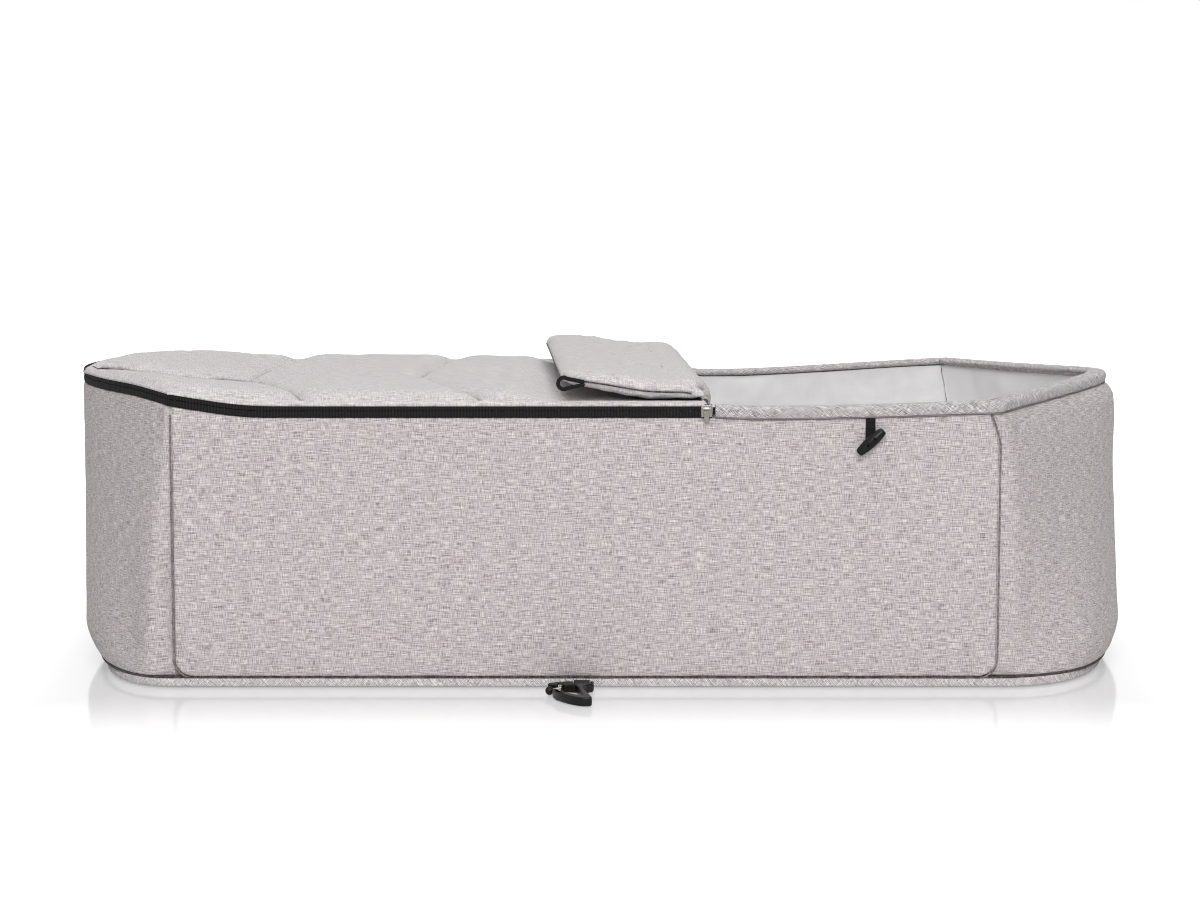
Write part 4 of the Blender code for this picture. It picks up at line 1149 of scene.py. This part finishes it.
# Plated zinc is bright, and its roughness changes a little from place to place where it is worn.
plated_zinc = mottled("plated_zinc", "7d7a76", "a09c97", 0.24, 700.0, detail=3.0, Metallic=1.0)
tree = plated_zinc.node_tree
brush = tree.nodes["Noise Texture"]
worn = node(tree, "MapRange", {"Value": brush.outputs["Fac"], "To Min": 0.16, "To Max": 0.36})
tree.links.new(worn.outputs[0], tree.nodes["Principled BSDF"].inputs["Roughness"])


def refined(node_name, name, edge, segments=2, angle=30):
    """A CAD solid's own shape with its flat faces made whole and its edges rounded."""
    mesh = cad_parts[node_name].data.copy()
    piece = bpy.data.objects.new(name, mesh)
    mesh.name = name
    bpy.context.scene.collection.objects.link(piece)
    shape = bmesh.new()
    shape.from_mesh(mesh)
    bmesh.ops.remove_doubles(shape, verts=shape.verts, dist=0.000005)
    bmesh.ops.dissolve_limit(shape, angle_limit=math.radians(2), verts=shape.verts,
                             edges=shape.edges)
    shape.to_mesh(mesh)
    shape.free()
    mesh.shade_smooth()
    mesh.set_sharp_from_angle(angle=math.radians(angle))
    apply_modifier(piece, "BEVEL", width=edge, segments=segments, limit_method="ANGLE",
                   angle_limit=math.radians(angle), use_clamp_overlap=True, harden_normals=True)
    return piece


dress(refined("zip_slider", "slider_body", 0.0004), plated_zinc, "slider", "steel", "zip_slider")
dress(refined("zip_pull", "slider_pull", 0.0001), plated_zinc, "pull", "steel", "zip_pull")

# Zip end stops
# A little block of moulded nylon closes each end of the zip.

# Moulded nylon is near black with a soft gloss over the mould's fine grain.
moulded_black = mottled("moulded_black", "080808", "101011", 0.30, 1400.0, detail=3.0,
                        bump=(0.15, 0.0001), Specular_IOR_Level=0.22)
for side, shift in (("near", 0.0), ("far", far_zip_end - zip_end)):
    stop = refined(f"zip_stop_{side}", f"zip_end_stop_{side}", 0.0005)
    stop.data.transform(Matrix.Translation((shift, 0.0, 0.0)))
    dress(stop, moulded_black, "body", "plastic_black", f"zip_stop_{side}")

# Toggles
# A black moulded toggle hangs from a doubled ribbon that is caught in the rim seam, with the
# ribbon's tie laced through its two holes.

toggle_x = 0.1905
toggle_tilt = math.radians(42.6)
toggle_long, toggle_middle, toggle_tip = 0.024, 0.00415, 0.0026
toggle_hole, hole_from_middle = 0.0013, 0.0028


def toggle_barrel(name, centre):
    """The barrel is a turned form with flat ends, bored twice across."""
    lean = Matrix.Rotation(math.radians(90) - toggle_tilt, 4, "Y")

    def spot(u, v):
        share = 1.0 - 2.0 * u
        swell = math.cos(share * math.pi / 2) ** 0.8
        radius = toggle_tip + (toggle_middle - toggle_tip) * swell
        rounding = max(abs(share) - 0.93, 0.0) / 0.07
        radius *= math.sqrt(max(1.0 - rounding ** 2 * 0.45, 0.0))
        angle = -2.0 * math.pi * v
        local = Vector((radius * math.cos(angle), radius * math.sin(angle),
                        toggle_long / 2 * share))
        return centre + lean @ local, (toggle_long * u, 0.02 * v)

    barrel = sewn_sheet(name, 40, 40, spot)
    shape = bmesh.new()
    shape.from_mesh(barrel.data)
    bmesh.ops.remove_doubles(shape, verts=shape.verts, dist=0.000002)
    bmesh.ops.holes_fill(shape, edges=[e for e in shape.edges if e.is_boundary])
    bmesh.ops.recalc_face_normals(shape, faces=shape.faces)
    shape.to_mesh(barrel.data)
    shape.free()
    along = (lean @ Vector((0.0, 0.0, 1.0))).normalized()
    holes = [centre + along * hole_from_middle * way for way in (-1.0, 1.0)]
    for spot_at in holes:
        bpy.ops.object.select_all(action="DESELECT")
        bpy.ops.mesh.primitive_cylinder_add(vertices=24, radius=toggle_hole, depth=0.02,
                                            location=spot_at, rotation=(math.pi / 2, 0.0, 0.0))
        drill = bpy.context.object
        apply_modifier(barrel, "BOOLEAN", operation="DIFFERENCE", solver="EXACT", object=drill)
        bpy.data.objects.remove(drill, do_unlink=True)
    apply_modifier(barrel, "BEVEL", width=0.0003, segments=2, limit_method="ANGLE",
                   angle_limit=math.radians(45))
    bpy.ops.object.shade_smooth_by_angle(angle=math.radians(40))
    return barrel, holes


for side, sign in (("near", -1.0), ("far", 1.0)):
    face = sign * (half_width + 0.0003)
    outer = face + sign * 0.0014
    top = rim_height(toggle_x, sign) - 0.0004
    low = top - 0.0195
    for layer, shift, drop in (("back", 0.00035, 0.0), ("front", 0.00105, 0.0006)):
        path = [Vector((toggle_x, face + sign * shift, top + (low + drop - top) * i / 4))
                for i in range(5)]
        ribbon = ribbon_along(f"toggle_ribbon_{layer}_{side}", path, Vector((1.0, 0.0, 0.0)),
                              lambda u: 0.0066 * (1.0 + 0.12 * u), 0.0006)
        if layer == "back":
            dress(ribbon, grosgrain, f"toggle_ribbon_{side}", "ribbon_black",
                  f"toggle_ribbon_{side}")
        else:
            dress(ribbon, grosgrain, f"toggle_ribbon_{side}", "ribbon_black")
    centre = Vector((toggle_x, outer + sign * (0.0003 + toggle_middle),
                     low + toggle_middle * 0.8))
    barrel, holes = toggle_barrel(f"toggle_barrel_{side}", centre)
    dress(barrel, moulded_black, f"toggle_{side}", "plastic_black", f"toggle_{side}")
    back = outer + sign * 0.0012
    front = centre.y + sign * 0.0048
    first, second = holes
    path = [Vector((first.x, back, first.z)), Vector((first.x, front - sign * 0.001, first.z)),
            Vector(((2 * first.x + second.x) / 3, front, (2 * first.z + second.z) / 3)),
            Vector(((first.x + 2 * second.x) / 3, front, (first.z + 2 * second.z) / 3)),
            Vector((second.x, front - sign * 0.001, second.z)), Vector((second.x, back, second.z))]
    lace_across = (second - first).cross(Vector((0.0, 1.0, 0.0))).normalized()
    lace = ribbon_along(f"toggle_lace_{side}", path, lace_across, lambda u: 0.0020, 0.0009)
    dress(lace, grosgrain, f"toggle_{side}", "ribbon_black", f"toggle_tie_{side}")

# Chassis hooks
# A webbing strap comes out under each side at its middle, goes round a steel bar and holds a
# moulded nylon hook. A steel gate pin with a thumb knob closes the hook's throat.

# Webbing is woven in a coarse twill; the gate's drawn steel is bare and catches the light.
webbing = ribbed("black_webbing", "0f0e0f", "242224", 0.8, 0.0014, 0.6, (0.7, 0.0003), turn=0.6)
bright_steel = mottled("bright_steel", "b9b4aa", "d8d4cb", 0.22, 900.0, at=(0.4, 0.6),
                       Metallic=1.0)
hook_x, hook_eye = -0.022, 0.0090
strap_wide, strap_thick, strap_play = 0.0112, 0.0011, 0.0004
pin_radius = 0.0021
bar_z = strap_thick + strap_play + pin_radius + 0.0001
turn_radius = pin_radius + strap_play + strap_thick / 2
for side, sign in (("near", -1.0), ("far", 1.0)):
    def out(reach, z):
        return Vector((hook_x + hook_eye, sign * (half_width + reach), z))
    path = [out(0.0011, bar_z + 0.0009), out(0.0058, bar_z + turn_radius * 0.9)]
    path += [out(0.0105 + turn_radius * math.cos(angle), bar_z + turn_radius * math.sin(angle))
             for angle in [math.radians(90 - 22.5 * i) for i in range(9)]]
    path += [out(0.0058, bar_z - turn_radius * 0.94), out(0.0011, bar_z - turn_radius * 0.9)]
    strap = ribbon_along(f"hook_webbing_{side}", path, Vector((1.0, 0.0, 0.0)),
                         lambda u: strap_wide, strap_thick)
    dress(strap, webbing, f"hook_strap_{side}", "webbing_black", f"hook_strap_{side}")
    dress(refined(f"hook_bar_{side}", f"hook_pin_{side}", 0.0003), plated_zinc, f"hook_{side}",
          "steel", f"hook_bar_{side}")
    dress(refined(f"hook_frame_{side}", f"hook_moulding_{side}", 0.0005), moulded_black,
          f"hook_{side}", "plastic_black", f"hook_frame_{side}")
    dress(refined(f"hook_gate_{side}", f"hook_gate_pin_{side}", 0.0002), bright_steel,
          f"hook_gate_{side}", "steel", f"hook_gate_{side}")
    knob = refined(f"hook_knob_{side}", f"hook_thumb_knob_{side}", 0.0002)
    apply_modifier(knob, "SUBSURF", levels=1, render_levels=1)
    dress(knob, moulded_black, f"hook_gate_{side}", "plastic_black", f"hook_knob_{side}")

# Studio
# The cot stands on a glossy white floor in front of white paper, under broad soft lamps.

floor_back = 2.0
bpy.ops.object.select_all(action="DESELECT")
bpy.ops.mesh.primitive_plane_add(size=12.0, location=(0.0, floor_back, -0.0003))
floor = bpy.context.object
floor.name = "studio_floor"
floor_white, tree, shader = plain_material("floor_white", 0.10)
shader.inputs["Base Color"].default_value = colour("f6f6f6")

# The camera sees a duller floor that glows a little more the farther it is from the cot, so that
# the cot's reflection shows and the paper beyond it is plain white.
path_kind = node(tree, "LightPath")
place = node(tree, "SeparateXYZ", {"Vector": node(tree, "TexCoord").outputs["Object"]})
away = []
for axis, back, half in (("X", 0.0, 0.33), ("Y", floor_back, half_width)):
    shifted = node(tree, "Math", {0: place.outputs[axis], 1: back}, operation="ADD")
    aside = node(tree, "Math", {0: shifted.outputs[0]}, operation="ABSOLUTE")
    away.append(node(tree, "Math", {0: aside.outputs[0], 1: half}, operation="SUBTRACT"))
farther = node(tree, "Math", {0: away[0].outputs[0], 1: away[1].outputs[0]}, operation="MAXIMUM")
fade = node(tree, "MapRange", {"Value": farther.outputs[0], "From Min": 0.02, "From Max": 0.20,
                               "To Min": 0.38, "To Max": 0.75}, interpolation_type="SMOOTHSTEP")
glow = node(tree, "Emission", {"Color": (1.0, 1.0, 1.0, 1.0), "Strength": fade.outputs[0]})
mirror = node(tree, "BsdfPrincipled", {"Base Color": colour("a4a4a4"), "Roughness": 0.10})
lit = node(tree, "AddShader", {0: mirror.outputs[0], 1: glow.outputs[0]})
seen = node(tree, "MixShader", {0: path_kind.outputs["Is Camera Ray"], 1: shader.outputs[0],
                                2: lit.outputs[0]})
tree.links.new(seen.outputs[0], tree.nodes["Material Output"].inputs["Surface"])
floor.data.materials.append(floor_white)

# The paper is white where it is seen or mirrored, and lights the cot less from both its ends.
world = bpy.data.worlds.new("studio_white")
bpy.context.scene.world = world
world.use_nodes = True
tree = world.node_tree
tree.nodes.clear()
path_kind = node(tree, "LightPath")
way = node(tree, "SeparateXYZ", {"Vector": node(tree, "TexCoord").outputs["Generated"]})
sideways = node(tree, "Math", {0: way.outputs["X"]}, operation="ABSOLUTE")
flag = node(tree, "MapRange", {"Value": sideways.outputs[0], "From Min": 0.15, "From Max": 0.7},
            interpolation_type="SMOOTHSTEP")
strength = node(tree, "MapRange", {"Value": flag.outputs[0], "To Min": 0.46, "To Max": 0.03})
soft = node(tree, "Background", {"Color": (1.0, 0.99, 0.985, 1.0),
                                 "Strength": strength.outputs[0]})
white = node(tree, "Background", {"Color": (1.0, 1.0, 1.0, 1.0), "Strength": 1.0})
direct = node(tree, "Math", {0: path_kind.outputs["Is Camera Ray"],
                             1: path_kind.outputs["Is Glossy Ray"]}, operation="MAXIMUM")
behind = node(tree, "MixShader", {0: direct.outputs[0], 1: soft.outputs[0], 2: white.outputs[0]})
node(tree, "OutputWorld", {"Surface": behind.outputs[0]})

for name, place, aim, size, power in (
        ("front_lamp", (0.1, -3.2, 1.9), (0.0, 0.0, 0.1), 2.0, 74.0),
        ("top_lamp", (0.1, 0.0, 2.6), (0.0, 0.0, 0.1), 2.4, 35.0)):
    light = bpy.data.lights.new(name, "AREA")
    light.energy = power
    light.size = size
    lamp = bpy.data.objects.new(name, light)
    lamp.location = place
    lamp.rotation_euler = (Vector(aim) - Vector(place)).to_track_quat("-Z", "Y").to_euler()
    bpy.context.scene.collection.objects.link(lamp)

# The camera's place, tilt and lens are matched to the photograph.
camera_away, camera_height, camera_tilt = 2.27, 0.4264, 6.947
camera = bpy.data.cameras.new("camera")
camera.sensor_width = 36.0
camera.lens = 90.03
viewer = bpy.data.objects.new("camera", camera)
viewer.location = (0.0, -camera_away, camera_height)
viewer.rotation_euler = (math.radians(90.0 - camera_tilt), 0.0, 0.0)
bpy.context.scene.collection.objects.link(viewer)
bpy.context.scene.camera = viewer
bpy.context.scene.view_settings.view_transform = "Standard"
bpy.context.scene.cycles.filter_width = 1.0
